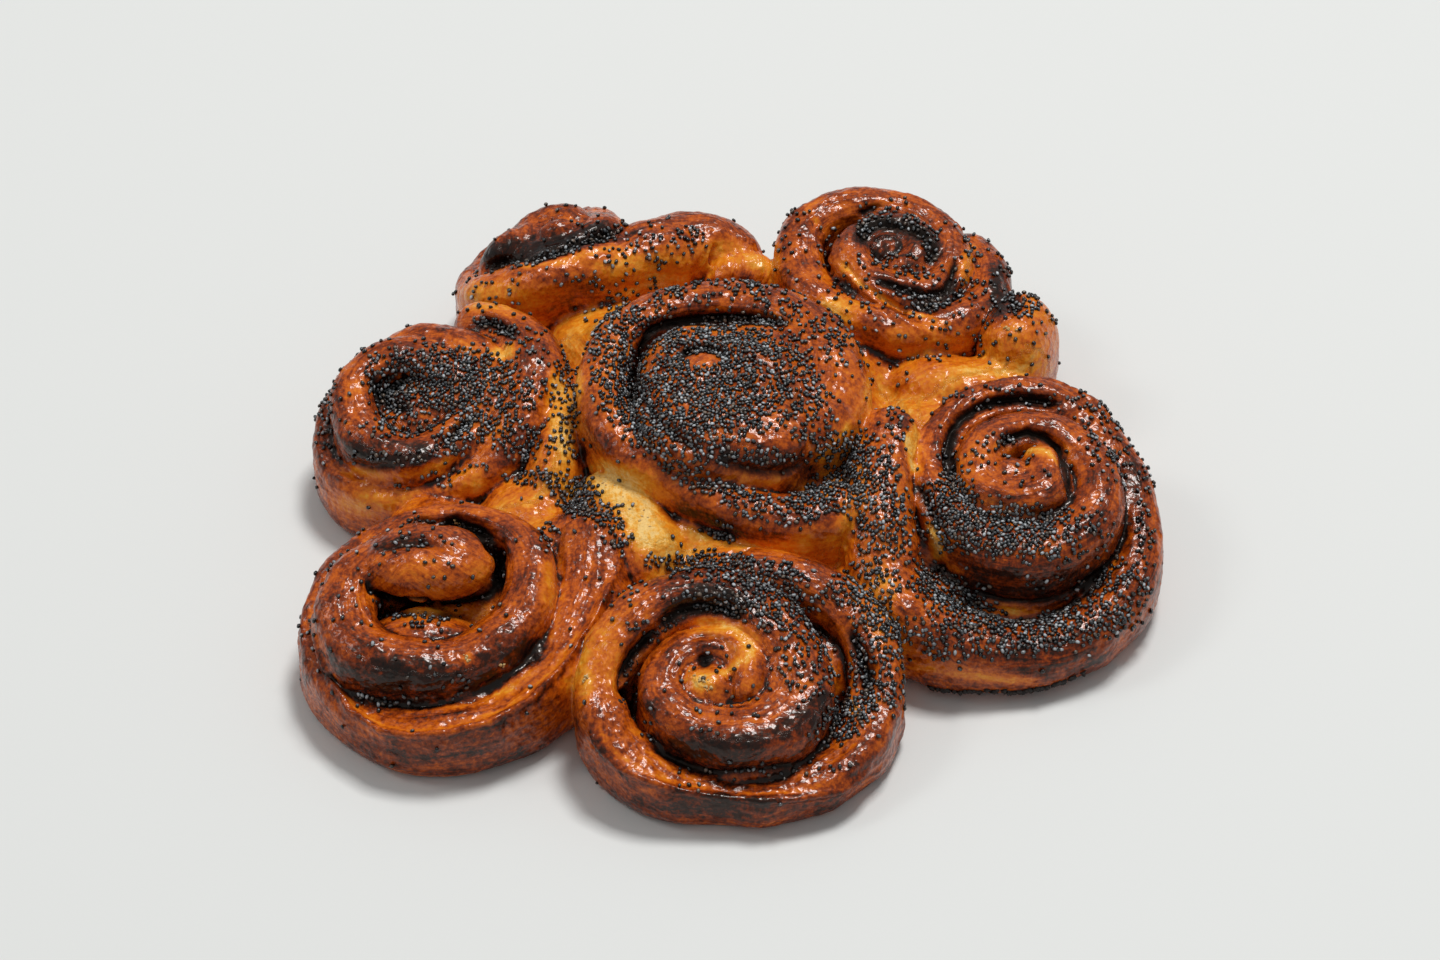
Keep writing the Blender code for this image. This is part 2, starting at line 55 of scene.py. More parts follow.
# the loaf in mm; a station is bearing, distance from the roll's middle, crest height, half width
loaf = {
    "middle": (0.4, 12.6),
    "rolls": {
        "middleRoll": ((1, 16), (
            (-80, 3, 49, 8), (60, 8, 50, 9), (180, 12, 49, 9.5), (270, 12, 46, 9), (335, 17, 45, 11),
            (385, 25, 46, 13), (425, 36, 47, 8.5), (455, 40.5, 46, 6.2), (480, 42, 45.5, 6.2),
            (505, 39.5, 44.5, 6.5), (545, 32, 42, 6.5), (585, 25, 39, 6.5), (618, 26, 37, 6.5),
            (645, 33, 36, 7), (665, 38, 36, 7.5), (683, 38, 36, 7))),
        "rightRoll": ((76, -1), (
            (112, 5, 37, 4.5), (-3, 4, 38, 6), (-89, 8, 37, 7), (-176, 13, 36, 6.5), (-270, 15.5, 37.5, 6),
            (-363, 17, 34, 7), (-450, 20.5, 30.5, 9), (-538, 25, 33, 5.5), (-630, 30, 37, 6.5),
            (-682, 27, 30.5, 6), (-724, 28, 24, 6), (-770, 34, 18.5, 7), (-812, 41, 16, 8.5),
            (-854, 47, 25, 9.5), (-882, 40.5, 34, 9), (-912, 37.5, 38, 8), (-933, 40, 39, 7.5))),
        "frontRoll": ((-2, -69), (
            (-45, 2, 27, 4), (30, 6.5, 29, 5), (100, 12, 30, 6), (176, 15, 27, 6), (254, 11, 24, 7),
            (333, 15.5, 25, 9.5), (377, 18, 28.5, 10), (419, 21, 33, 9.5), (461, 26, 36, 7.5),
            (505, 29, 33, 7.5), (542, 30, 25, 6), (589, 23.5, 15, 6), (632, 20, 11.5, 6), (678, 26, 12, 6.5),
            (716, 35, 16, 7), (745, 41, 23, 6.5), (767, 41.5, 29, 7), (789, 39, 32, 7), (808, 37, 32, 7.5))),
        "frontLeftRoll": ((-75, -40), (
            (49, 10, 35.5, 5.5), (96, 11.5, 36.5, 6.5), (150, 17, 34, 7), (180, 20, 32, 7.5),
            (224, 22, 29, 7.5), (269, 20, 28, 7), (320, 22, 29, 7.5), (359, 25, 32.5, 6.5), (399, 27, 34, 6),
            (450, 25, 32, 5.5), (500, 27, 25, 5), (545, 28, 18, 5), (590, 29, 16, 5.5), (630, 32, 16.5, 7),
            (675, 33, 20, 8), (709, 37, 25, 9.5), (739, 42.5, 30, 10), (753, 49, 34, 9))),
        "leftRoll": ((-80, 30), (
            (200, 2, 31, 8), (20, 7, 32, 9), (80, 13.5, 36, 7.5), (135, 17.5, 36.5, 6), (180, 18.5, 34, 6),
            (240, 17, 30, 6.5), (290, 15, 30, 6.5), (335, 15, 32, 6), (390, 20, 35, 8), (440, 22, 35.5, 6.5),
            (490, 22.5, 30, 6), (540, 23.5, 21.5, 6), (590, 23, 19, 6), (635, 20, 21, 6), (675, 23, 27, 7.5),
            (710, 25, 34, 9.5), (745, 31, 37, 9), (775, 35, 36, 6.5), (800, 34, 33, 6))),
        "backLeftRoll": ((-48, 95), (
            (30, 2, 38.5, 6), (10, 5, 39, 6), (100, 6, 37, 6), (178, 8, 33.5, 6.5), (240, 7, 36, 6),
            (300, 8, 38, 6), (360, 13.5, 39, 6), (450, 16, 26, 6.5), (510, 19, 19, 6.5), (550, 21.5, 22, 6),
            (580, 22, 31, 7.5), (610, 18, 37, 8), (640, 15.5, 39, 8), (693, 20, 39, 9), (718, 32, 38, 10),
            (720, 46, 36, 9.5), (710, 51, 31, 8))),
        "backRightRoll": ((45, 82), (
            (180, 2, 40, 5), (330, 4, 40, 5.5), (440, 9, 42, 5), (540, 12, 41, 5.5), (590, 12, 39, 6),
            (640, 12, 37.5, 6.5), (690, 13, 37, 6.5), (735, 15, 38, 6), (790, 19, 39.5, 6),
            (830, 23.5, 40.5, 6), (868, 28, 39, 6.5), (905, 25.5, 36, 6.5), (945, 21.5, 35, 6.5),
            (985, 21, 33.5, 7), (1020, 23, 33, 6.5), (1060, 25, 33, 6.5), (1090, 24, 33, 6),
            (1130, 25, 31, 6))),
    },
    # x, y, half length, half width, height, bearing: feet, hearts of the spirals, joints
    "lumps": (
        (2, 14, 44, 42, 33, 0), (72, -6, 36, 36, 15, 0), (0, -66, 31, 22, 12, 0), (-74, -43, 30, 29, 14, 0),
        (-78, 29, 28, 26, 14, 0), (-46, 92, 26, 29, 20, 0), (46, 82, 29, 28, 25, 0), (78, 69, 16, 11, 23, 75),
        (2, 18, 26, 25, 47, 0), (76, -4, 17, 16, 33, 0), (1, -69, 13, 11, 23, 0), (-76, -49, 17, 13, 27, 0),
        (-80, 32, 18, 16, 31, 0), (-48, 95, 14, 13, 34, 0), (45, 82, 15, 14, 34, 0),
        (-27, -19, 17, 9, 30, -52), (-45, 18, 24, 10, 31, 84), (-24, 56, 16, 8, 30, 28),
        (27, 52, 14, 8, 33, -42), (3, 67, 22, 15, 27, 0), (-51, 1, 20, 16, 24, 90), (50, 33, 20, 15, 23, 90),
        (-24, -35, 12, 11, 21, 0), (31, -28, 12, 12, 22, 0), (68, 52, 22, 18, 18, 75),
        (-41, 45, 15, 11, 23, 80)),
    # both ends, half width, height
    "bridges": (
        ((-72, 30), (0, 16), 15, 27), ((-70, -36), (-6, 8), 15, 27), ((2, -54), (2, 6), 20, 27),
        ((66, -8), (10, 10), 20, 27), ((46, 76), (8, 24), 18, 27), ((-40, 80), (-4, 24), 20, 28),
        ((-76, 26), (-74, -36), 14, 20), ((-62, -40), (-6, -56), 14, 18), ((8, -58), (60, -16), 13, 19),
        ((72, 4), (54, 74), 15, 20), ((38, 88), (-34, 88), 14, 25), ((-50, 78), (-74, 38), 15, 22)),
    # fuller hearts than a plain lump: x, y, half length, half width, height, bearing, boxiness, foot
    "hearts": (
        (-0.8, 18, 24.5, 28.5, 48.2, 0, 5), (71, -2, 10, 9, 36.2, 0, 2.4),
        (-74.5, -32.8, 16.5, 10.8, 38.2, -4, 2.4, 24), (-6, -67, 8, 8, 27.4, 0, 3),
        # joints: middle to front left, to left, to back left, the saddle behind, back right to right
        (-29, -3, 14, 9, 30, -50, 2.6), (-20, -17, 12, 9, 29.2, -62, 2.6),
        (-26, -9.5, 18, 10, 30.2, -60, 3.4), (-44.5, 25, 20, 6, 32, 90, 2.6),
        (-25, 66, 17, 7, 32, 32, 2.8), (3, 87, 12, 8, 32, 0, 2.6), (62, 47, 24, 11, 26, -10, 3),
        # the back left roll's lower tier and the back right roll's tail
        (-52.5, 96.5, 18, 7.5, 35.5, 26, 3), (-46, 92, 9, 6, 40.5, 10, 2.4),
        (76.5, 61.5, 15, 11, 35, 80, 2.6), (46, 85.5, 7, 6, 39, 0, 2.4),
        (41.8, 84.4, 6.5, 5.5, 39.2, 0, 2.6),
    ),
    # how boxy a strip's section is where it lies low
    "boxiness": {
        "middleRoll": 2.2, "rightRoll": 2.1, "frontRoll": 3.4, "frontLeftRoll": 3.4, "leftRoll": 2.8,
        "backLeftRoll": 2.4, "backRightRoll": 2.2,
    },
    "highBoxiness": 2.2,      # and where it lies high
    "boxyBelow": (29, 21),    # crest heights between which one becomes the other
    "crestRoundness": 0.9,    # height of the section's curve in half widths
    "toeHeight": 7.0,
    "sunk": 0.6,              # mm that a strip's toe reaches below the table
    "endRound": 7.0,          # mm over which a strip's end rounds off
    "endShare": 0.02,         # square of the least share of its width there
    "readings": 900,          # places at which its stations are first read
    "step": 1.2,              # mm between its sections
    "sectionPoints": 44,
    "lumpSunk": 6.0,          # mm
    "lumpPlan": 0.3,          # how much of a lump's boxiness shows in plan
    "lumpPole": 0.04,         # radians left flat at top and foot
    "lumpRings": 32,
    "lumpAround": 48,
    "voxel": 0.62,            # mm, of the skin that fuses them all
    "quickVoxel": 1.1,
    "softenRounds": 3,
    "softenShare": 0.5,
    # dough stretched between the rolls: mm beside a strip, mm above the table, smoothing rounds
    "jointBeside": (0.5, 5.0),
    "jointAbove": (2, 6),
    "jointRounds": 14,
    "quickJointRounds": 3,
    "jointShare": 0.8,
    # waves of the skin: size in mm, height in mm, seed of the draw
    "swells": ((18, 0.35, 11), (7, 0.10, 12)),
    "creases": (2.2, 0.22, 13),
    "creasePatches": (14, 14),     # size in mm and seed of the places where creases are deep
    "creaseSqueeze": 0.16,    # width of a crease in its lengths
    "grit": (2.2, 0.07, 15),
    "overCrest": 0.8,         # mm of grain for each mm below the crest
    "rollApart": 40,          # mm by which the grains of neighbouring rolls differ
    "freeAbove": (0.0, 2.5),  # mm above the table over which the skin is let go
    "cutAhead": 0.6,          # a crevice goes in partly along the view and partly straight in
    "cutInward": 0.4,
    "triangles": 188000,
}


# reads a table of stations at evenly spaced places: a cubic through its rows
def smoothTable(stations, count):
    rows = np.array(stations, float)
    places = np.linspace(0, len(rows) - 1, count)
    slopes = np.gradient(rows, axis=0)
    low = np.minimum(places.astype(int), len(rows) - 2)
    t = (places - low)[:, None]
    a, b, ma, mb = rows[low], rows[low + 1], slopes[low], slopes[low + 1]
    return ((2 * t**3 - 3 * t**2 + 1) * a + (t**3 - 2 * t**2 + t) * ma
            + (3 * t**2 - 2 * t**3) * b + (t**3 - t**2) * mb)


# middle line of a strip, evenly stepped: x, y, crest height, half width; and the run along it
def walkStrip(roll, step):
    middle, stations = roll
    fine = smoothTable(stations, loaf["readings"])
    bearing = np.radians(fine[:, 0])
    x = middle[0] + fine[:, 1] * np.cos(bearing)
    y = middle[1] + fine[:, 1] * np.sin(bearing)
    run = np.concatenate([[0], np.cumsum(np.hypot(np.diff(x), np.diff(y)))])
    steps = np.linspace(0, run[-1], int(run[-1] / step) + 2)
    line = np.column_stack([np.interp(steps, run, v) for v in (x, y, fine[:, 2], fine[:, 3])])
    return line, steps


# the level direction to the left of a line's heading, one long
def sideways(line):
    heading = np.gradient(line[:, :2], axis=0)
    heading /= np.linalg.norm(heading, axis=1)[:, None]
    return np.column_stack([-heading[:, 1], heading[:, 0]])


# the sign of a number with a power of its size
def signedPower(value, power):
    return np.sign(value) * np.abs(value) ** power


# a profile carried along a path: the top half of the section is half of |x|^p + |z|^p = 1, as high as
# 0.9 of its half width, and below it the sides fall straight to a tucked toe; p is the strip's own
# boxiness where it lies low
def stripSurface(name, roll):
    line, steps = walkStrip(roll, loaf["step"])
    low = smoothStep(*loaf["boxyBelow"], line[:, 2])
    power = (loaf["highBoxiness"] + (loaf["boxiness"][name] - loaf["highBoxiness"]) * low)[:, None]
    side = sideways(line)
    nearEnd = np.minimum(np.minimum(steps, steps[-1] - steps) / loaf["endRound"], 1.0)
    half = line[:, 3] * np.sqrt(np.clip(1 - (1 - nearEnd) ** 2, loaf["endShare"], 1))
    cap = half * loaf["crestRoundness"]
    crest = line[:, 2] - line[:, 3] * loaf["crestRoundness"] + cap
    angle = np.linspace(0, 2 * math.pi, loaf["sectionPoints"], endpoint=False)
    cosine, sine = np.cos(angle)[None, :], np.sin(angle)[None, :]
    across = signedPower(cosine, 2 / power) * half[:, None]
    top = crest[:, None] - cap[:, None] * (1 - np.abs(sine) ** (2 / power))
    toe = loaf["toeHeight"] + (loaf["toeHeight"] + loaf["sunk"]) * sine
    up = np.where(sine >= 0, top, np.minimum(toe, crest[:, None] - cap[:, None]))
    x = line[:, None, 0] + side[:, None, 0] * across
    y = line[:, None, 1] + side[:, None, 1] * across
    return np.stack([x, y, up], axis=2)


# an ellipsoid as rings from its foot to its top, turned to its bearing; with a power above 2 it is boxier
def lumpSurface(x, y, halfLength, halfWidth, height, bearing, power=2.0, foot=None):
    depth = height + loaf["lumpSunk"] if foot is None else height - foot
    plan = 2 / (2 + (power - 2) * loaf["lumpPlan"])
    polar = np.linspace(loaf["lumpPole"], math.pi - loaf["lumpPole"], loaf["lumpRings"])[:, None]
    around = np.linspace(0, 2 * math.pi, loaf["lumpAround"], endpoint=False)[None, :]
    level = signedPower(np.cos(polar), 2 / power)
    wide = np.sin(polar) ** (2 / power)
    u = wide * signedPower(np.cos(around), plan) * halfLength
    v = wide * signedPower(np.sin(around), plan) * halfWidth
    cosine, sine = math.cos(math.radians(bearing)), math.sin(math.radians(bearing))
    up = height - depth / 2 - level * depth / 2 + 0 * around
    return np.stack([x + u * cosine - v * sine, y + u * sine + v * cosine, up], axis=2)


# a lump laid from one end to the other, as long as both ends rounded by its half width
def bridgeSurface(start, end, halfWidth, height):
    start, end = np.array(start, float), np.array(end, float)
    reach = np.linalg.norm(end - start) / 2 + halfWidth
    bearing = math.degrees(math.atan2(end[1] - start[1], end[0] - start[0]))
    return lumpSurface(*((start + end) / 2), reach, halfWidth, height, bearing)


# rings of points become quads round the rings and one cap at each end
def ringFaces(rings, points, first):
    index = first + np.arange(rings * points).reshape(rings, points)
    after = np.roll(index, -1, axis=1)
    quads = np.stack([index[:-1], after[:-1], after[1:], index[1:]], axis=2).reshape(-1, 4)
    return quads.tolist() + [index[0][::-1].tolist(), index[-1].tolist()]


# points are in metres
def newObject(name, points, faces):
    mesh = bpy.data.meshes.new(name)
    mesh.from_pydata(points, [], faces)
    made = bpy.data.objects.new(name, mesh)
    bpy.context.scene.collection.objects.link(made)
    return made


# swaps an object's mesh for what its modifiers make of it
def applyModifiers(piece):
    made = bpy.data.meshes.new_from_object(piece.evaluated_get(bpy.context.evaluated_depsgraph_get()))
    piece.modifiers.clear()
    old = piece.data
    piece.data = made
    bpy.data.meshes.remove(old)


# one property of every item of a mesh, with so many numbers to a row
def numbersOf(items, name, perItem, kind):
    flat = np.empty(len(items) * perItem, kind)
    items.foreach_get(name, flat)
    return flat.reshape(-1, perItem)


def pointsOf(mesh):
    return numbersOf(mesh.vertices, "co", 3, float)


def normalsOf(mesh):
    return numbersOf(mesh.vertices, "normal", 3, np.float32).astype(float)


def edgesOf(mesh):
    return numbersOf(mesh.edges, "vertices", 2, np.int32)


def cornersOf(mesh, perFace):
    return numbersOf(mesh.loops, "vertex_index", 1, np.int32).reshape(-1, perFace)


# each value moves to the mean of its neighbours, round after round
def averaged(values, edges, rounds, share=1.0):
    first, second = edges[:, 0], edges[:, 1]
    count = len(values)
    degree = np.maximum(np.bincount(edges.ravel(), minlength=count), 1)
    values = values.astype(float).reshape(count, -1).copy()
    share = np.broadcast_to(np.asarray(share, float).reshape(-1, 1), (count, 1))
    for _ in range(rounds):
        for column in range(values.shape[1]):
            v = values[:, column]
            total = np.bincount(first, v[second], count) + np.bincount(second, v[first], count)
            values[:, column] = v + share[:, 0] * (total / degree - v)
    return values


# numbers each connected skin by its lowest point index: neighbours take the lower number
def skinNumbers(count, edges):
    number = np.arange(count)
    while True:
        low = np.minimum(number[edges[:, 0]], number[edges[:, 1]])
        after = number.copy()
        np.minimum.at(after, edges[:, 0], low)
        np.minimum.at(after, edges[:, 1], low)
        after = after[after]
        if np.array_equal(after, number):
            return number
        number = after


# a sum of plane waves of nearly one size in random directions, mostly between -1.5 and 1.5
def ripples(points, size, seed, waves=18, spread=(0.75, 1.5)):
    draw = np.random.default_rng(seed)
    way = draw.normal(size=(waves, 3))
    way /= np.linalg.norm(way, axis=1)[:, None]
    way *= 2 * math.pi / (size * draw.uniform(*spread, (waves, 1)))
    phase = draw.uniform(0, 2 * math.pi, waves)
    return sum(np.cos(points @ way[i] + phase[i]) for i in range(waves)) / math.sqrt(waves)


# 0 at the low value and 1 at the high one, with a smooth rise between; it falls where low is above high
def smoothStep(low, high, value):
    t = np.clip((value - low) / (high - low), 0, 1)
    return t * t * (3 - 2 * t)


# distance of every point to a polyline and how far along it the nearest place lies, segment by segment
def nearLine(points, line):
    best, along = np.full(len(points), 1e9), np.zeros(len(points))
    length = np.concatenate([[0], np.cumsum(np.linalg.norm(np.diff(line, axis=0), axis=1))])
    for start, a, b in zip(length, line[:-1], line[1:]):
        run = b - a
        t = np.clip(((points - a) @ run) / max(run @ run, 1e-9), 0, 1)
        far = np.linalg.norm(points - a - t[:, None] * run, axis=1)
        along = np.where(far < best, start + t * np.linalg.norm(run), along)
        best = np.minimum(best, far)
    return best, along, length[-1]


# a stroke's strength at every point: 1 on its line, falling across it and over the last 4 mm at both ends
def strokeShare(points, line, halfWidth, edge=2, fade=(-1.5, 4.0)):
    far, along, length = nearLine(points, line)
    ends = smoothStep(*fade, np.minimum(along, length - along))
    return np.exp(-(far / halfWidth) ** edge) * ends


# the camera's place in mm and its axes
tilt = math.radians(picture["elevation"])
ahead = np.array([0, math.cos(tilt), -math.sin(tilt)])
upward = np.array([0, math.sin(tilt), math.cos(tilt)])
eye = np.array(picture["aim"]) - ahead * picture["distance"]


# where points fall in the picture, and how far they lie along the view in mm
def inPicture(points):
    off = points - eye
    depth = off @ ahead
    across = picture["width"] / 2 + picture["focal"] * off[:, 0] / depth
    down = picture["height"] / 2 - picture["focal"] * (off @ upward) / depth
    return np.column_stack([across, down]), depth


# a mesh made ready for rays and nearest places
def treeOf(points, triangles):
    return BVHTree.FromPolygons(points.tolist(), triangles.tolist())


# the place on the loaf that a picture point looks at
def onLoaf(across, down, tree):
    way = ahead + np.array([1.0, 0, 0]) * (across - picture["width"] / 2) / picture["focal"]
    way = way + upward * (picture["height"] / 2 - down) / picture["focal"]
    hit = tree.ray_cast(Vector(eye), Vector(way))
    if hit[0] is None:  # just outside the outline: the loaf's nearest place
        hit = tree.find_nearest(Vector(eye + way * picture["distance"]))
    return np.array(hit[0])


# what is cut into the crust: picture points, half width in mm, depth in mm, and how full of filling it is
# where that isn't simply by its depth
crevices = {
    "middleGroove": (((790, 324), (760, 319), (720, 318), (690, 320), (666, 324), (650, 332), (642, 348),
        (639, 371)), 1.5, 2.4),
    "middleGrooveLeft": (((637, 371), (640, 390), (649, 410), (664, 428), (684, 442), (704, 450)),
        1.6, 1.6),
    "middleCore": (((678, 360), (688, 350), (706, 347), (722, 352), (728, 362)), 1.6, 2.8),
    "middleCoreTail": (((728, 362), (752, 360), (780, 374), (796, 400), (790, 425)), 2.0, 1.2),
    "middleFoot": (((722, 462), (750, 470), (780, 472), (806, 462)), 1.4, 1.4),
    "middleUnder": (((692, 522), (712, 531), (738, 536)), 1.4, 1.2),
    "rightOuter": (((952, 482), (948, 452), (953, 431), (962, 419), (977, 409), (994, 402), (1020, 399),
        (1062, 404)), 1.7, 3.4),
    "rightCore": (((1000, 448), (1010, 438), (1028, 432), (1045, 438), (1056, 448), (1064, 464),
        (1068, 482), (1070, 500)), 1.5, 2.8),
    "rightTurn": (((1068, 500), (1050, 512), (1020, 512), (985, 500)), 1.6, 1.0),
    "rightLeftGap": (((917, 482), (926, 498), (934, 516), (942, 534)), 1.8, 2.4),
    "rightFoot": (((968, 588), (1000, 600), (1045, 600), (1085, 585), (1115, 556), (1128, 525)),
        1.1, 1.5),
    "frontLeftMouth": (((366, 578), (370, 591), (388, 598), (408, 597), (426, 598), (444, 602),
        (470, 600), (488, 592)), 0.9, 2.4),
    "frontLeftGap": (((438, 524), (460, 524), (478, 532), (491, 547), (498, 563), (498, 580), (490, 594),
        (478, 604)), 2.3, 4.6),
    "frontLeftGapBack": (((408, 522), (424, 521), (440, 524)), 1.2, 1.6),
    "frontLeftHollow": (((384, 606), (408, 615), (440, 617), (466, 611)), 1.7, 1.6),
    "frontLeftCrease": (((374, 556), (384, 549), (398, 545), (420, 543), (436, 546), (446, 552)),
        1.3, 1.7, 0.4),
    "frontLeftFoot": (((350, 690), (385, 704), (430, 708), (470, 702), (500, 686)), 0.8, 0.7),
    "frontGap": (((627, 703), (622, 690), (625, 670), (633, 655), (645, 641), (657, 629)), 1.9, 4.2),
    "frontBack": (((657, 630), (666, 621), (682, 610), (702, 606), (724, 610), (746, 620)), 2.0, 2.6),
    "frontCore": (((699, 652), (705, 660), (703, 670)), 1.7, 2.2),
    "frontCoreTurn": (((688, 640), (702, 634), (722, 638), (734, 650), (728, 664)), 1.1, 0.8),
    "frontFoot": (((650, 748), (678, 762), (705, 770), (742, 771), (782, 767), (812, 755), (832, 738)),
        1.1, 1.4),
    "frontRightGap": (((848, 628), (858, 650), (868, 672), (866, 696)), 1.8, 3.0),
    "leftPocket": (((476, 322), (490, 322), (504, 329), (515, 336)), 1.5, 2.8),
    "leftGap": (((440, 447), (452, 436), (464, 424), (478, 412)), 1.7, 2.8),
    "leftHeart": (((372, 372), (376, 392), (390, 406), (412, 412)), 1.7, 2.2),
    "leftFoot": (((352, 462), (372, 468), (398, 465)), 1.4, 1.4),
    "backLeftUnder": (((484, 266), (505, 262), (535, 261), (562, 251), (592, 240), (618, 229)), 1.4, 2.2),
    "backRightRing": (((862, 246), (864, 230), (878, 224), (904, 227), (924, 237), (934, 252),
        (924, 264)), 1.6, 1.6),
    "backRightUnder": (((874, 280), (900, 288), (926, 296), (946, 292), (953, 274), (955, 258)),
        1.4, 2.2),
    "backRightPocket": (((1008, 284), (1014, 298), (1016, 314)), 1.7, 2.6),
    "backRightLine": (((803, 205), (815, 221), (830, 245), (845, 265), (860, 284), (880, 296), (902, 310),
        (924, 317)), 0.9, 1.2, 0.0),
    "backRightTop": (((857, 228), (864, 212), (884, 204)), 1.4, 1.6),
}

# thin raised edges: picture points, half width in mm, height in mm
ridges = {
    "frontLeftEdge": (((315, 600), (318, 640), (330, 680), (350, 710), (380, 730), (410, 736), (450, 733),
        (490, 722), (530, 700), (560, 670), (590, 630), (610, 584)), 0.9, 1.5),
    "frontEdge": (((590, 730), (604, 752), (622, 768), (650, 781), (680, 791), (720, 798), (762, 801),
        (802, 798), (840, 789), (872, 768)), 0.9, 1.4),
    "leftEdge": (((330, 474), (350, 482), (390, 485), (420, 480), (450, 470)), 1.0, 0.8),
    "backRightLip": (((800, 220), (820, 250), (850, 275), (870, 295), (900, 320), (930, 335)), 1.1, 1.0),
    "rightWrinkleA": (((900, 398), (914, 420), (922, 450), (930, 480)), 0.8, 0.5),
    "rightWrinkleB": (((918, 388), (934, 412), (938, 444), (944, 474)), 0.7, 0.5),
    "shoulderFold": (((625, 552), (606, 592), (584, 640), (566, 676)), 1.1, 0.7),
}


# a line of picture points laid on the loaf
def lineOn(tree, pointsInPicture):
    return np.array([onLoaf(*point, tree) for point in pointsInPicture])


# how a place is matched to its strip: mm between stations, weight of height beside plan, how many points
# at a time, and the mm over which a seam between two rolls fades
matching = {"step": 3.0, "heightWeight": 0.45, "atOnce": 40000, "seam": (6.0, 1.5)}

# the strips' middle lines: x, y, crest, half width, sideways x and y, run along the strip, number of the roll
stripStations = []
for number, roll in enumerate(loaf["rolls"].values()):
    line, steps = walkStrip(roll, matching["step"])
    stripStations.append(np.column_stack([line, sideways(line), steps, np.full(len(line), number)]))
stripStations = np.concatenate(stripStations)
stripStations[:, :2] -= loaf["middle"]


# nearest station of every point: how far beside the strip, how far along it and how far below the crest;
# a seam is where the nearest stations of two rolls are equally far
def stripPlace(points):
    scale = np.array([1, 1, matching["heightWeight"]], np.float32)
    flat = points.astype(np.float32) * scale
    best, second = np.full(len(points), 1e9), np.full(len(points), 1e9)
    nearest = np.zeros(len(points), int)
    for number in range(len(loaf["rolls"])):
        mine = np.flatnonzero(stripStations[:, 7] == number)
        stations = stripStations[mine, :3].astype(np.float32) * scale
        for start in range(0, len(points), matching["atOnce"]):
            part = slice(start, start + matching["atOnce"])
            some = flat[part]
            gap = (some**2).sum(1)[:, None] + (stations**2).sum(1)[None, :] - 2 * some @ stations.T
            low = gap.argmin(1)
            reach = np.sqrt(np.maximum(gap.min(1), 0)) - stripStations[mine[low], 3]
            closer = reach < best[part]
            second[part] = np.where(closer, best[part], np.minimum(second[part], reach))
            nearest[part] = np.where(closer, mine[low], nearest[part])
            best[part] = np.where(closer, reach, best[part])
    station = stripStations[nearest]
    off = points[:, :2] - station[:, :2]
    return {
        "beside": (off * station[:, 4:6]).sum(1),
        "along": station[:, 6] + off[:, 0] * station[:, 5] - off[:, 1] * station[:, 4],
        "below": station[:, 2] - points[:, 2],
        "far": np.linalg.norm(off, axis=1) - station[:, 3],
        "seam": smoothStep(*matching["seam"], second - best),
        "roll": station[:, 7],
    }


# each strip's own grain in mm: along it, across it and down its sides, and apart from the next roll's
def stripGrain(place, squeeze=1.0):
    across = place["beside"] + place["below"] * loaf["overCrest"]
    return np.column_stack([place["along"] * squeeze, across, place["roll"] * loaf["rollApart"]])


# 1 on dough stretched between the rolls, 0 on the rolls and at the table
def betweenRolls(place, points, low, high):
    return smoothStep(*loaf["jointBeside"], place["far"]) * smoothStep(low, high, points[:, 2])


# every strip, lump and bridge fused into one skin; only the largest skin is kept
def fuseDough():
    grids = [stripSurface(name, roll) for name, roll in loaf["rolls"].items()]
    grids += [lumpSurface(*lump) for lump in loaf["lumps"] + loaf["hearts"]]
    grids += [bridgeSurface(*bridge) for bridge in loaf["bridges"]]
    points, faces = [], []
    for grid in grids:
        faces += ringFaces(grid.shape[0], grid.shape[1], sum(len(p) for p in points))
        points.append(grid.reshape(-1, 3))
    allPoints = (np.concatenate(points) - np.array([*loaf["middle"], 0])) * mm
    dough = newObject("dough", allPoints.tolist(), faces)
    fuse = dough.modifiers.new("fuse", "REMESH")
    fuse.mode = "VOXEL"
    fuse.voxel_size = loaf["voxel"] * mm
    applyModifiers(dough)
    print("dough fused:", len(dough.data.polygons), "quads")

    points, edges, quads = pointsOf(dough.data) / mm, edgesOf(dough.data), cornersOf(dough.data, 4)
    bpy.data.objects.remove(dough)
    number = skinNumbers(len(points), edges)
    kept = number == np.bincount(number).argmax()
    fresh = np.cumsum(kept) - 1
    return points[kept], fresh[edges[kept[edges[:, 0]]]], fresh[quads[kept[quads[:, 0]]]]


# how far the skin stands out in mm: broad swells, creases that run along each strip and come and go in
# patches, none of them on stretched dough, and fine grit
def skinWaves(points, place, between):
    waves = sum(height * ripples(points, size, seed) for size, height, seed in loaf["swells"])
    size, height, seed = loaf["creases"]
    crease = ripples(stripGrain(place, loaf["creaseSqueeze"]), size, seed)
    crease = crease * (0.5 + 0.5 * ripples(points, *loaf["creasePatches"]))
    waves += height * crease * (1 - between)
    size, height, seed = loaf["grit"]
    waves += height * ripples(points, size, seed)
    return waves


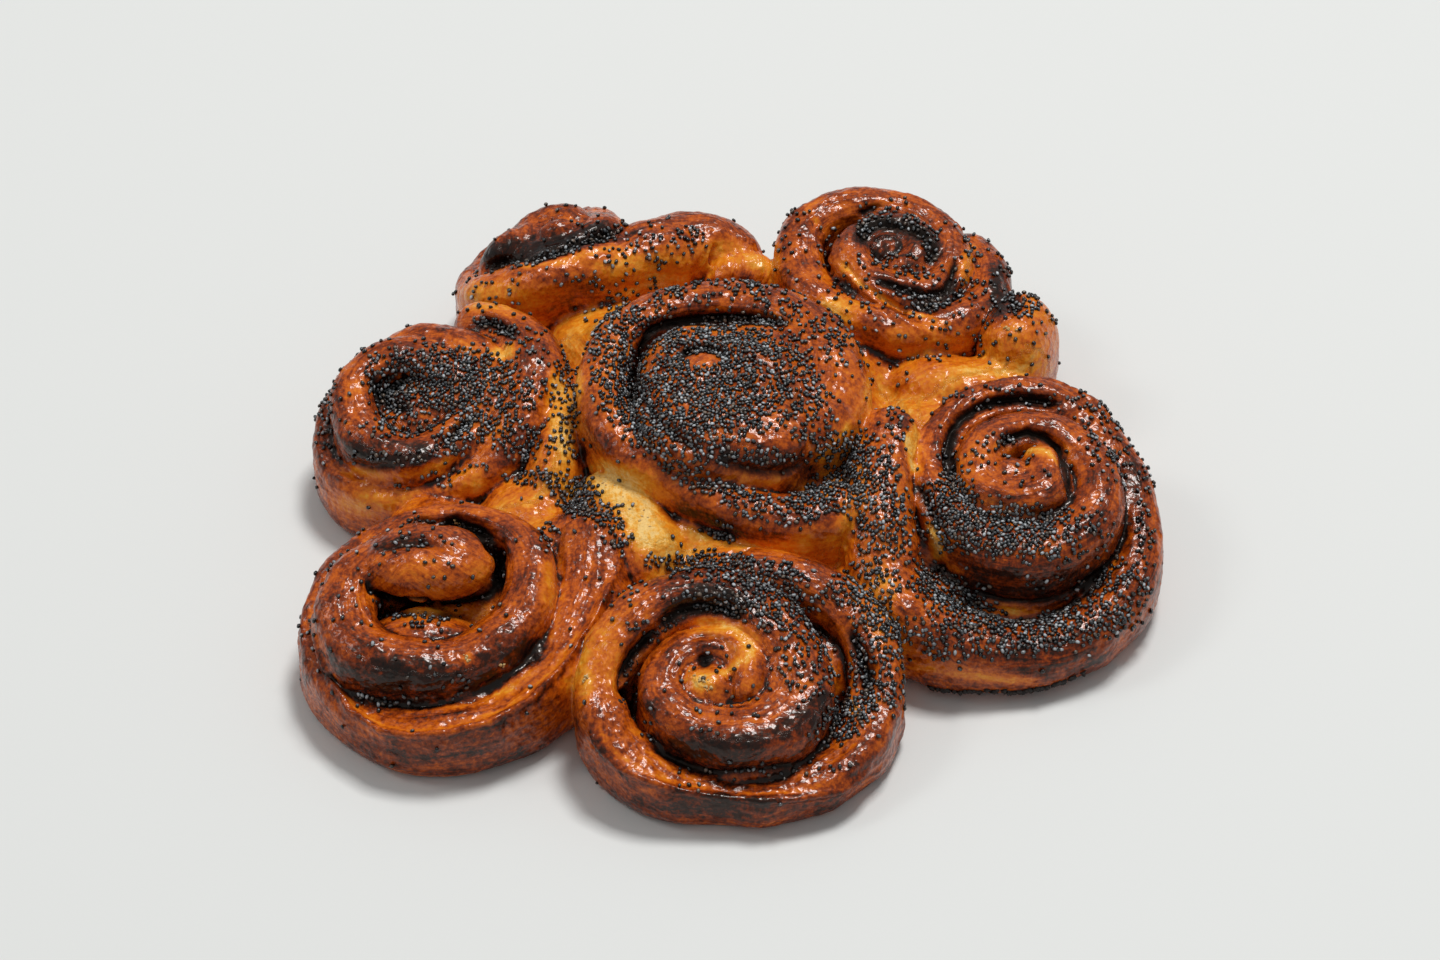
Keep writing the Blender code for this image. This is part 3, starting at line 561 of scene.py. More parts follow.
# the crust: the fused dough worked like clay, with waves in its skin, crevices cut in and ridges raised
def makeCrust():
    points, edges, quads = fuseDough()
    place = stripPlace(points)
    between = betweenRolls(place, points, *loaf["jointAbove"])
    # stretched dough between the rolls is smooth, the rolls keep their grooves
    points = averaged(points, edges, loaf["softenRounds"], loaf["softenShare"])
    rounds = loaf["jointRounds"]
    points = averaged(points, edges, rounds, between * loaf["jointShare"])
    points[:, 2] = np.maximum(points[:, 2], 0)

    made = newObject("crust", (points * mm).tolist(), quads.tolist())
    normals = normalsOf(made.data)
    lifted = points.copy()
    free = smoothStep(*loaf["freeAbove"], points[:, 2])[:, None]
    dough = treeOf(points, quads)
    lifted += normals * (skinWaves(points, place, between)[:, None] * free)
    inward = loaf["cutAhead"] * ahead - loaf["cutInward"] * normals
    for line, halfWidth, depth, *_ in crevices.values():
        cut = depth * strokeShare(points, lineOn(dough, line), halfWidth)
        lifted += inward * (cut[:, None] * free)
    for line, halfWidth, height in ridges.values():
        rise = height * strokeShare(points, lineOn(dough, line), halfWidth)
        lifted += normals * (rise[:, None] * free)
    lifted[:, 2] = np.maximum(lifted[:, 2], 0)
    made.data.vertices.foreach_set("co", (lifted * mm).ravel())
    made.data.update()
    thin = made.modifiers.new("thin", "DECIMATE")
    thin.ratio = min(1.0, loaf["triangles"] / (2 * len(quads)))
    thin.use_collapse_triangulate = True
    applyModifiers(made)
    made.data.shade_smooth()
    print("crust:", len(made.data.polygons), "triangles")
    return made


crust = makeCrust()
crustTree = treeOf(pointsOf(crust.data) / mm, cornersOf(crust.data, 3))

# how far the crust is baked, in patches, the dark ones on front walls partly painted shade: picture point,
# reach across and down in picture points, the degree of baking there (0 pale crumb, 0.3 golden,
# 0.5 orange brown, 0.75 dark brown, 1 burnt) and how strongly it holds
bakedPatches = (
    # joints and torn crumb
    ((622, 492), 30, 22, 0.04, 0.95), ((640, 512), 18, 32, 0.0, 0.95), ((652, 528), 16, 22, 0.06, 0.9),
    ((602, 470), 20, 12, 0.08, 0.85), ((650, 490), 22, 20, 0.25, 0.7), ((575, 385), 11, 26, 0.12, 0.85),
    ((570, 435), 12, 26, 0.12, 0.85), ((665, 286), 26, 9, 0.10, 0.85), ((580, 345), 8, 14, 0.33, 0.8),
    ((560, 345), 14, 22, 0.34, 0.7), ((830, 308), 38, 13, 0.18, 0.8), ((720, 262), 24, 12, 0.28, 0.7),
    ((765, 262), 24, 10, 0.25, 0.7), ((505, 352), 12, 9, 0.10, 0.8), ((915, 445), 6, 28, 0.08, 0.9),
    ((936, 545), 7, 22, 0.08, 0.9), ((1000, 368), 44, 7, 0.16, 0.8), ((586, 680), 10, 22, 0.20, 0.8),
    ((706, 684), 12, 12, 0.06, 0.9), ((468, 658), 4, 6, 0.0, 0.9), ((855, 690), 10, 22, 0.28, 0.7),
    ((838, 455), 8, 10, 0.14, 0.6), ((805, 480), 16, 8, 0.15, 0.8), ((660, 528), 40, 8, 0.2, 0.7),
    ((790, 545), 30, 8, 0.25, 0.7),
    # bright orange slopes
    ((716, 628), 34, 8, 0.30, 0.9), ((748, 648), 10, 16, 0.26, 0.9), ((612, 655), 16, 50, 0.44, 0.7),
    ((870, 620), 16, 40, 0.42, 0.8), ((552, 590), 14, 38, 0.34, 0.8), ((505, 668), 14, 8, 0.32, 0.9),
    ((430, 612), 34, 9, 0.38, 0.85), ((925, 405), 18, 34, 0.36, 0.8), ((1040, 450), 24, 6, 0.32, 0.9),
    ((1112, 565), 14, 26, 0.40, 0.8), ((1015, 612), 28, 7, 0.34, 0.8), ((970, 666), 60, 7, 0.42, 0.8),
    ((395, 470), 50, 8, 0.40, 0.8), ((470, 480), 22, 14, 0.34, 0.7), ((845, 268), 34, 20, 0.40, 0.6),
    ((967, 272), 6, 22, 0.30, 0.8), ((975, 345), 60, 18, 0.44, 0.7), ((775, 478), 24, 4, 0.42, 0.8),
    ((960, 460), 20, 30, 0.46, 0.6), ((470, 345), 8, 8, 0.40, 0.9), ((350, 385), 12, 30, 0.42, 0.7),
    ((560, 262), 60, 6, 0.42, 0.7), ((880, 585), 30, 12, 0.36, 0.7), ((640, 740), 20, 22, 0.46, 0.6),
    ((520, 480), 30, 12, 0.46, 0.6), ((460, 508), 60, 9, 0.48, 0.6), ((850, 545), 30, 12, 0.46, 0.6),
    # dark walls and crests: burnt browning, and on the front walls turned away from the lamps painted shade
    # as well
    ((412, 674), 96, 14, 0.93, 0.9), ((510, 650), 32, 20, 0.90, 0.85), ((700, 746), 70, 10, 0.88, 0.85),
    ((812, 716), 28, 24, 0.84, 0.8), ((745, 762), 70, 14, 0.82, 0.8), ((1030, 580), 90, 22, 0.82, 0.85),
    ((1100, 540), 24, 40, 0.80, 0.8), ((380, 452), 60, 14, 0.84, 0.8), ((326, 440), 10, 30, 0.80, 0.8),
    ((520, 252), 60, 14, 0.92, 0.85), ((600, 234), 34, 9, 0.88, 0.85), ((999, 292), 9, 40, 0.92, 0.9),
    ((925, 306), 28, 9, 0.90, 0.85), ((895, 238), 40, 26, 0.78, 0.7), ((712, 597), 42, 18, 0.90, 0.85),
    ((720, 515), 66, 16, 0.71, 0.8), ((612, 372), 22, 56, 0.42, 0.7), ((700, 488), 60, 10, 0.56, 0.6),
    ((630, 455), 40, 12, 0.72, 0.7), ((755, 452), 44, 10, 0.84, 0.8), ((396, 548), 30, 8, 0.80, 0.8),
    ((545, 540), 14, 20, 0.84, 0.8), ((680, 405), 60, 30, 0.70, 0.6), ((875, 500), 30, 60, 0.56, 0.6),
    ((1060, 640), 80, 24, 0.70, 0.7), ((1138, 500), 16, 60, 0.80, 0.8), ((380, 694), 40, 10, 0.80, 0.7),
    ((862, 660), 10, 40, 0.90, 0.8), ((1000, 410), 60, 14, 0.66, 0.5), ((704, 362), 16, 7, 0.34, 0.9),
    ((430, 570), 62, 26, 0.56, 0.9), ((715, 395), 92, 76, 0.58, 0.85), ((450, 752), 110, 18, 0.79, 0.85),
    ((730, 804), 110, 16, 0.87, 0.85), ((375, 502), 44, 17, 0.35, 0.85), ((850, 405), 18, 46, 0.54, 0.85),
    ((806, 474), 40, 14, 0.72, 0.85), ((1050, 660), 90, 16, 0.78, 0.85), ((882, 670), 24, 50, 0.55, 0.6),
    ((640, 610), 14, 30, 0.52, 0.5), ((600, 590), 18, 44, 0.70, 0.75), ((430, 635), 70, 18, 0.67, 0.6),
    ((700, 705), 60, 24, 0.65, 0.6), ((495, 298), 60, 22, 0.27, 0.85), ((574, 338), 14, 20, 0.24, 0.8),
    ((650, 268), 64, 22, 0.25, 0.85), ((715, 252), 20, 22, 0.36, 0.8), ((832, 452), 16, 24, 0.50, 0.8),
    ((540, 232), 60, 8, 0.70, 0.8),
)

# golden and burnt lines, the dark ones on the coils' front walls partly painted shade: picture points, half
# width in mm, degree of baking, how strongly it holds
bakedStrokes = (
    # right roll
    (((905, 405), (908, 440), (912, 465), (920, 475)), 1.6, 0.06, 0.95),
    (((925, 520), (932, 535), (940, 550), (945, 558)), 1.3, 0.04, 0.95),
    (((950, 565), (965, 574)), 1.5, 0.30, 0.8),
    (((1005, 447), (1030, 450), (1050, 452), (1056, 462), (1060, 470)), 1.0, 0.16, 0.9),
    (((1000, 608), (1015, 612), (1030, 610)), 1.2, 0.20, 0.8),
    (((1122, 550), (1110, 570), (1105, 590)), 1.0, 0.30, 0.9),
    (((850, 560), (880, 570), (895, 605)), 1.6, 0.28, 0.7),
    (((910, 664), (960, 674), (1000, 680), (1040, 680)), 1.3, 0.30, 0.85),
    # burnt glaze and painted shade: the coil's dark front wall
    (((960, 572), (985, 588), (1030, 594), (1070, 585), (1105, 565)), 3.6, 0.90, 0.9),
    (((950, 470), (948, 450), (953, 431), (962, 419), (977, 409), (994, 402), (1020, 399), (1056, 403)),
        2.2, 0.95, 0.9),
    (((1003, 440), (1030, 433), (1045, 437), (1055, 446)), 1.6, 0.90, 0.9),
    (((1055, 446), (1065, 465), (1070, 495)), 1.2, 0.84, 0.8),
    (((925, 400), (935, 430), (940, 470)), 0.8, 0.75, 0.7),
    (((915, 420), (922, 445), (930, 470)), 0.8, 0.36, 0.7),
    # middle roll
    (((840, 440), (850, 420)), 1.0, 0.10, 0.9), (((835, 460), (825, 500)), 1.0, 0.10, 0.9),
    (((745, 478), (775, 482), (800, 476)), 1.0, 0.40, 0.8),
    (((625, 400), (650, 430), (690, 460), (730, 470)), 1.0, 0.46, 0.6),
    (((645, 400), (637, 380), (636, 352), (646, 335), (665, 325), (690, 319), (720, 318), (760, 320)),
        2.2, 0.95, 0.85),
    (((672, 505), (700, 521), (740, 532), (790, 537)), 2.2, 0.86, 0.8),
    (((700, 447), (740, 462), (780, 466), (812, 455)), 2.0, 0.86, 0.8),
    (((800, 298), (830, 310), (860, 328)), 3.0, 0.20, 0.8),
    (((853, 350), (868, 372), (874, 398)), 3.5, 0.46, 0.7),
    # left roll
    (((340, 470), (370, 474), (400, 475), (440, 465), (460, 450)), 1.6, 0.30, 0.8),
    (((520, 305), (545, 325), (575, 355)), 1.0, 0.24, 0.8),
    (((485, 352), (500, 354), (515, 350)), 2.0, 0.10, 0.9),
    (((350, 445), (375, 462), (405, 462), (440, 448)), 2.4, 0.88, 0.85),
    (((374, 380), (384, 398), (410, 408)), 3.0, 0.90, 0.8),
    (((472, 322), (495, 325), (518, 338)), 2.2, 0.92, 0.85),
    (((325, 400), (326, 425), (336, 450)), 1.8, 0.80, 0.7), (((470, 485), (485, 492)), 2.0, 0.12, 0.9),
    # back left roll
    (((500, 268), (530, 266), (560, 262), (600, 250), (620, 243)), 1.5, 0.38, 0.8),
    (((700, 256), (730, 254)), 3.5, 0.30, 0.8),
    (((484, 262), (505, 256), (540, 250), (575, 240), (612, 229)), 4.2, 0.96, 0.95),
    (((600, 222), (640, 222), (680, 226)), 1.3, 0.82, 0.7),
    (((554, 324), (580, 316), (608, 308)), 2.6, 0.28, 0.9),
    (((565, 272), (571, 300), (570, 328)), 1.2, 0.74, 0.7),
    (((572, 355), (574, 335), (580, 318)), 2.5, 0.24, 0.7),
    # back right roll
    (((805, 205), (815, 220), (830, 245), (845, 265), (860, 285), (880, 295), (900, 310), (920, 315),
        (950, 325)), 0.9, 0.24, 0.85),
    (((862, 232), (866, 242)), 0.8, 0.10, 0.8), (((955, 285), (965, 262), (975, 240)), 1.6, 0.26, 0.85),
    (((880, 345), (940, 350), (1000, 350), (1050, 345)), 5.0, 0.36, 0.7),
    (((940, 366), (975, 370), (1010, 375)), 1.2, 0.20, 0.85),
    (((862, 246), (864, 230), (878, 224), (904, 227), (924, 237), (934, 252), (924, 264)),
        2.8, 0.97, 0.95),
    (((872, 280), (900, 290), (926, 298), (948, 290), (954, 272)), 2.4, 0.96, 0.95),
    (((996, 262), (1004, 290), (1006, 318)), 2.2, 0.90, 0.85),
    (((1014, 296), (1018, 316)), 2.4, 0.90, 0.85),
    # joints of the middle roll with its neighbours
    (((600, 320), (640, 292), (680, 280)), 2.5, 0.12, 0.9),
    (((560, 370), (558, 410), (560, 455)), 3.0, 0.12, 0.8),
    (((600, 470), (622, 485), (640, 505), (650, 530), (654, 552)), 4.5, 0.03, 0.85),
    (((655, 520), (690, 532), (720, 542)), 2.5, 0.22, 0.8),
    (((742, 240), (750, 258), (765, 270)), 3.0, 0.22, 0.8),
    (((845, 340), (900, 335), (950, 330)), 3.0, 0.36, 0.7),
    # front left roll
    (((312, 599), (314, 641), (326, 682), (347, 713), (378, 734), (410, 740), (451, 737), (492, 726),
        (533, 703), (564, 672), (594, 631)), 0.5, 0.84, 0.75),
    (((322, 640), (336, 678), (354, 706), (382, 725), (410, 731), (449, 728), (486, 717), (525, 696),
        (555, 667), (584, 627)), 0.7, 0.38, 0.7),
    (((390, 547), (410, 543), (434, 547)), 1.8, 0.90, 0.85),
    (((374, 604), (386, 613), (402, 619)), 2.0, 0.86, 0.8),
    (((400, 608), (430, 612), (470, 606)), 1.4, 0.34, 0.85),
    (((540, 560), (552, 590), (556, 620)), 1.6, 0.30, 0.8),
    (((470, 700), (510, 690), (540, 665)), 1.3, 0.32, 0.8),
    (((600, 640), (585, 670), (572, 700)), 2.5, 0.30, 0.8), (((585, 680), (588, 684)), 1.2, 0.04, 0.9),
    (((350, 690), (390, 712), (430, 718), (480, 708)), 0.8, 0.80, 0.7),
    # burnt glaze and painted shade: the coil's dark front wall
    (((325, 650), (345, 672), (380, 687), (420, 692), (460, 688), (500, 665), (530, 642)),
        2.6, 0.88, 0.8),
    (((366, 576), (372, 592), (400, 597), (440, 601), (480, 595)), 1.3, 1.0, 1.0),
    (((438, 524), (460, 524), (478, 532), (491, 547), (498, 563), (498, 580), (490, 594)),
        2.6, 0.98, 0.95),
    (((395, 544), (412, 540), (426, 543)), 2.0, 0.88, 0.8),
    (((606, 560), (600, 592), (584, 632)), 2.2, 0.66, 0.6),
    # front roll
    (((588, 738), (602, 757), (620, 773), (649, 786), (680, 796), (720, 803), (762, 806), (803, 803),
        (842, 794), (876, 772)), 0.5, 0.84, 0.75),
    (((596, 726), (612, 750), (640, 770), (680, 783), (720, 790), (762, 793), (800, 790), (836, 781)),
        0.7, 0.40, 0.7),
    (((690, 625), (705, 622), (730, 628), (750, 640), (755, 648)), 1.6, 0.20, 0.9),
    (((755, 648), (745, 660), (725, 672), (715, 680)), 1.3, 0.14, 0.85),
    (((845, 690), (852, 705), (860, 720)), 1.5, 0.24, 0.85),
    (((870, 590), (878, 620), (885, 650)), 2.2, 0.38, 0.7),
    (((600, 600), (605, 650), (620, 700)), 3.5, 0.42, 0.6),
    (((640, 742), (665, 765), (700, 780)), 1.0, 0.38, 0.7),
    # burnt glaze and painted shade: the coil's dark front wall
    (((652, 728), (665, 745), (700, 750), (740, 745), (780, 735), (810, 715), (830, 690)),
        2.6, 0.88, 0.8),
    (((664, 622), (682, 606), (702, 598), (724, 600), (748, 612)), 3.4, 0.97, 0.92),
    (((697, 652), (705, 658), (712, 664)), 1.6, 0.92, 0.9),
    (((690, 672), (702, 682), (712, 676)), 1.8, 0.05, 0.85),
)


# keeps one number for every point of a mesh, for its material to read
def setNumber(mesh, name, values):
    kept = mesh.attributes.new(name, "FLOAT", "POINT")
    kept.data.foreach_set("value", values.astype(np.float32))


# how the crust browns by its form, before its patches and after them, in degrees of baking; its hollows and
# pits are darkened as painted shade
baking = {
    "plain": 0.60,
    "mottle": ((12, 0.025, 21), (3.5, 0.02, 22)),   # size in mm, strength, seed of the draw
    "crests": 0.07,
    "crestHeight": (0.0, 0.9),     # mm above the crust round it
    "joints": (0.38, 0.8),         # level, and how strongly it holds
    "jointAbove": (1.5, 6),        # mm above the table
    "seams": (0.26, 0.8),
    "walls": (0.67, 0.5),
    "wallSlope": (0.5, 0.1),       # upward share of the normal
    "wallReach": (60, 95),         # mm from the loaf's middle
    # painted shade in hollows and small pits, in degrees of baking
    "hollows": 0.30,
    "hollowDepth": (0.3, 1.3),     # mm below the crust round it
    "hollowRounds": 24,            # rounds of smoothing that a hollow is measured against
    "pitShade": 0.18,
    "pitDepth": (0.12, 0.5),
    "pitRounds": 5,
    "strokeEdge": 3,
    "underside": 0.66,
    "undersideHeight": (0.2, 0.05),
    "undersideSlope": (-0.5, -0.9),
    "fullDepth": 2,                # mm of a crevice that is full of filling
    "fillingGain": 1.25,
    "fillingLoss": 0.15,
    "patchDepth": 6,               # mm along the view that a patch reaches, and more for a wide one
    "patchSpread": 4,
}


# each patch pulls the baking near its own place on the loaf towards its level; far parts of the loaf
# that only lie behind it in the picture are left alone
def paintPatches(points, value, patches):
    seen, depth = inPicture(points)
    value = value.copy()
    for (across, down), reachAcross, reachDown, level, hold in patches:
        placeDepth = (onLoaf(across, down, crustTree) - eye) @ ahead
        near = ((seen[:, 0] - across) / reachAcross) ** 2 + ((seen[:, 1] - down) / reachDown) ** 2
        reach = baking["patchDepth"] + max(reachAcross, reachDown) / baking["patchSpread"]
        deep = ((depth - placeDepth) / reach) ** 2
        share = hold * np.exp(-(near**1.5) - deep**2)
        value += (level - value) * share
    return value


# baking, poppy filling and the run along each strip are kept on the crust's points
def paintCrust():
    mesh = crust.data
    points, normals, edges = pointsOf(mesh) / mm, normalsOf(mesh), edgesOf(mesh)
    place = stripPlace(points)
    # above 0 in a hollow, below 0 on a crest
    hollow, pit = (((averaged(points, edges, baking[rounds]) - points) * normals).sum(1)
                   for rounds in ("hollowRounds", "pitRounds"))
    between = betweenRolls(place, points, *baking["jointAbove"])
    outward = smoothStep(*baking["wallReach"], np.linalg.norm(points[:, :2], axis=1))
    steep = smoothStep(*baking["wallSlope"], normals[:, 2])
    inner = (1 - between) * (1 - place["seam"])
    baked = baking["plain"] + sum(ripples(points, size, seed) * strength
                                  for size, strength, seed in baking["mottle"])
    baked += baking["crests"] * smoothStep(*baking["crestHeight"], -hollow)
    level, hold = baking["joints"]
    baked += (level - baked) * between * hold
    level, hold = baking["seams"]
    baked += (level - baked) * place["seam"] * hold
    level, hold = baking["walls"]
    baked += (level - baked) * hold * steep * outward
    baked = paintPatches(points, baked, bakedPatches)
    # painted shade: hollows and small pits are darkened, away from the joints and seams
    baked += baking["hollows"] * smoothStep(*baking["hollowDepth"], hollow) * inner
    baked += baking["pitShade"] * smoothStep(*baking["pitDepth"], pit) * inner
    for line, halfWidth, level, hold in bakedStrokes:
        share = hold * strokeShare(points, lineOn(crustTree, line), halfWidth, baking["strokeEdge"])
        baked += (level - baked) * share
    filling = np.zeros(len(points))
    for line, halfWidth, depth, *full in crevices.values():
        full = full[0] if full else min(1, depth / baking["fullDepth"])
        filling = np.maximum(filling, strokeShare(points, lineOn(crustTree, line), halfWidth) * full)
    under = (smoothStep(*baking["undersideHeight"], points[:, 2])
             * smoothStep(*baking["undersideSlope"], normals[:, 2]))
    baked += (baking["underside"] - baked) * under
    filled = np.clip(filling * baking["fillingGain"] - baking["fillingLoss"], 0, 1)
    setNumber(mesh, "baked", np.clip(baked, 0, 1))
    setNumber(mesh, "filling", filled * (1 - under))
    run = mesh.attributes.new("stripRun", "FLOAT_VECTOR", "POINT")
    run.data.foreach_set("vector", (stripGrain(place) * mm).astype(np.float32).ravel())
    print("crust painted")


paintCrust()


# an sRGB hex colour turned to linear: a straight foot, then a power of 2.4
def linear(hexColour, alpha=1.0):
    channels = [int(hexColour[i:i + 2], 16) / 255 for i in (1, 3, 5)]
    straight = [c / 12.92 if c <= 0.04045 else ((c + 0.055) / 1.055) ** 2.4 for c in channels]
    return (*straight, alpha)


# adds a node, sets its properties, and gives each input a value or a link
def addNode(tree, kind, properties=None, inputs=None):
    node = tree.nodes.new(kind)
    for name, value in (properties or {}).items():
        setattr(node, name, value)
    for name, value in (inputs or {}).items():
        if isinstance(value, bpy.types.NodeSocket):
            tree.links.new(value, node.inputs[name])
        else:
            node.inputs[name].default_value = value
    return node


# a material, its node tree and its main shader
def newMaterial(name):
    material = bpy.data.materials.new(name)
    material.use_nodes = True
    tree = material.node_tree
    return material, tree, tree.nodes["Principled BSDF"]


# the scale of a pattern whose features are so many mm across
def perMillimetre(size):
    return 1 / (size * mm)


crustLook = {
    "stops": (
        (0.0, "#f6cd80"), (0.13, "#efb14a"), (0.28, "#e7901f"), (0.42, "#db7414"), (0.56, "#bf560a"),
        (0.70, "#812f06"), (0.84, "#301005"), (1.0, "#090303"),
    ),
    "filling": "#0a0707",
    # patterns: what each one follows, its size in mm, detail and roughness
    "patterns": {
        "mottle": ("crust", 5.0, 6.0, 0.68),
        "specks": ("crust", 1.1, 3.0, 0.65),
        "wrinkles": ("wrinkles", 0.75, 3.0, 0.6),
        "bands": ("bands", 2.6, 3.0, 0.55),
        "wrinkleRelief": ("wrinkles", 0.75, 1.0, 0.4),
        "gritRelief": ("crust", 1.3, 1.0, 0.4),
        "dimpleRelief": ("crust", 5.0, 1.0, 0.4),
    },
    "lengths": {"wrinkles": 7.0, "bands": 22.0},      # mm along a strip
    "blisters": (2.1, 0.4),        # size in mm, smoothness
    "shifts": {"mottle": 0.58, "specks": 0.50, "wrinkles": 0.38, "bands": 0.38},    # in degrees of baking
    # depth of each relief in mm
    "relief": {"wrinkleRelief": 0.13, "gritRelief": 0.24, "blisterRelief": 0.38, "dimpleRelief": 0.8},
    "torn": 0.9,                   # crumb of the pale joints, mm
    "bump": 0.8,
    "paleBelow": (0.04, 0.30),     # degrees of baking between which crumb becomes crust
    "roughness": (0.28, 0.46),
    "bareDullness": 0.34,          # what bare crumb and filling add to it
    "ior": 1.45,
    "specular": 0.22,              # the glaze shines, the dough under it hardly does
    "glaze": "#ffe2c8",            # what the caramel in the glaze does to its shine
    "coat": 0.5,
    "bareCoat": 0.05,
    "coatRoughness": 0.17,
}


# egg-washed crust: baked dough under a thin hard glaze, so its browns run from gold to near black
# and shine in fine broken glints
def eggWashedCrust(look):
    material, tree, shader = newMaterial("eggWashedCrust")
    baked = addNode(tree, "ShaderNodeAttribute", {"attribute_name": "baked"}).outputs["Fac"]
    filling = addNode(tree, "ShaderNodeAttribute", {"attribute_name": "filling"}).outputs["Fac"]
    run = addNode(tree, "ShaderNodeAttribute", {"attribute_name": "stripRun"}).outputs["Vector"]
    follows = {"crust": addNode(tree, "ShaderNodeTexCoord").outputs["Object"]}
    for name, length in look["lengths"].items():
        squeeze = (look["patterns"][name][1] / length, 1.0, 1.0)
        along = addNode(tree, "ShaderNodeMapping", {}, {"Vector": run, "Scale": squeeze})
        follows[name] = along.outputs["Vector"]
    patterns = {}
    for name, (lead, size, detail, roughness) in look["patterns"].items():
        patterns[name] = addNode(tree, "ShaderNodeTexNoise", {}, {
            "Vector": follows[lead], "Scale": perMillimetre(size), "Detail": detail,
            "Roughness": roughness}).outputs["Fac"]
    size, smoothness = look["blisters"]
    patterns["blisterRelief"] = addNode(tree, "ShaderNodeTexVoronoi", {"feature": "SMOOTH_F1"}, {
        "Vector": follows["crust"], "Scale": perMillimetre(size), "Smoothness": smoothness,
        "Randomness": 1.0}).outputs["Distance"]

    # the shade: the baking shifted by each pattern, then read off the browns
    shade = baked
    for name, strength in look["shifts"].items():
        centred = addNode(tree, "ShaderNodeMath", {"operation": "SUBTRACT"}, {0: patterns[name], 1: 0.5})
        shade = addNode(tree, "ShaderNodeMath", {"operation": "MULTIPLY_ADD"}, {
            0: centred.outputs[0], 1: strength, 2: shade}).outputs[0]
    ramp = addNode(tree, "ShaderNodeValToRGB", {}, {"Fac": shade})
    while len(ramp.color_ramp.elements) < len(look["stops"]):
        ramp.color_ramp.elements.new(0.5)
    for element, (position, colour) in zip(ramp.color_ramp.elements, look["stops"]):
        element.position = position
        element.color = linear(colour)
    colour = addNode(tree, "ShaderNodeMix", {"data_type": "RGBA"}, {
        "Factor": filling, 6: ramp.outputs["Color"], 7: linear(look["filling"])}).outputs[2]
    tree.links.new(colour, shader.inputs["Base Color"])

    # pale crumb and filling carry no glaze, so they are duller and have next to no coat
    least, most = look["paleBelow"]
    pale = addNode(tree, "ShaderNodeMapRange", {}, {
        "Value": baked, "From Min": least, "From Max": most, "To Min": 1.0, "To Max": 0.0}).outputs["Result"]
    bare = addNode(tree, "ShaderNodeMath", {"operation": "MAXIMUM"}, {0: pale, 1: filling}).outputs[0]
    least, most = look["roughness"]
    rough = addNode(tree, "ShaderNodeMapRange", {}, {
        "Value": patterns["specks"], "From Min": 0.3, "From Max": 0.7,
        "To Min": least, "To Max": most}).outputs["Result"]
    dull = addNode(tree, "ShaderNodeMath", {"operation": "MULTIPLY_ADD"}, {
        0: bare, 1: look["bareDullness"], 2: rough}).outputs[0]
    tree.links.new(dull, shader.inputs["Roughness"])
    glazed = addNode(tree, "ShaderNodeMapRange", {}, {
        "Value": bare, "To Min": look["coat"], "To Max": look["bareCoat"]}).outputs["Result"]
    tree.links.new(glazed, shader.inputs["Coat Weight"])
    shader.inputs["Coat Roughness"].default_value = look["coatRoughness"]
    shader.inputs["IOR"].default_value = look["ior"]
    shader.inputs["Specular IOR Level"].default_value = look["specular"]
    shader.inputs["Specular Tint"].default_value = linear(look["glaze"])

    # the relief has no finer grain than the glaze can carry, so that it glints instead of going dull
    height = None
    for name, strength in look["relief"].items():
        term = addNode(tree, "ShaderNodeMath", {"operation": "MULTIPLY"}, {
            0: patterns[name], 1: strength * mm}).outputs[0]
        height = term if height is None else addNode(
            tree, "ShaderNodeMath", {"operation": "ADD"}, {0: height, 1: term}).outputs[0]
    torn = addNode(tree, "ShaderNodeMath", {"operation": "MULTIPLY"}, {
        0: pale, 1: look["torn"] * mm}).outputs[0]
    height = addNode(tree, "ShaderNodeMath", {"operation": "MULTIPLY_ADD"}, {
        0: patterns["specks"], 1: torn, 2: height}).outputs[0]
    bump = addNode(tree, "ShaderNodeBump", {}, {
        "Height": height, "Strength": look["bump"], "Distance": 1.0}).outputs["Normal"]
    tree.links.new(bump, shader.inputs["Normal"])
    tree.links.new(bump, shader.inputs["Coat Normal"])
    return material


crust.data.materials.append(eggWashedCrust(crustLook))
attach(crust, "root")
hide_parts("bun")

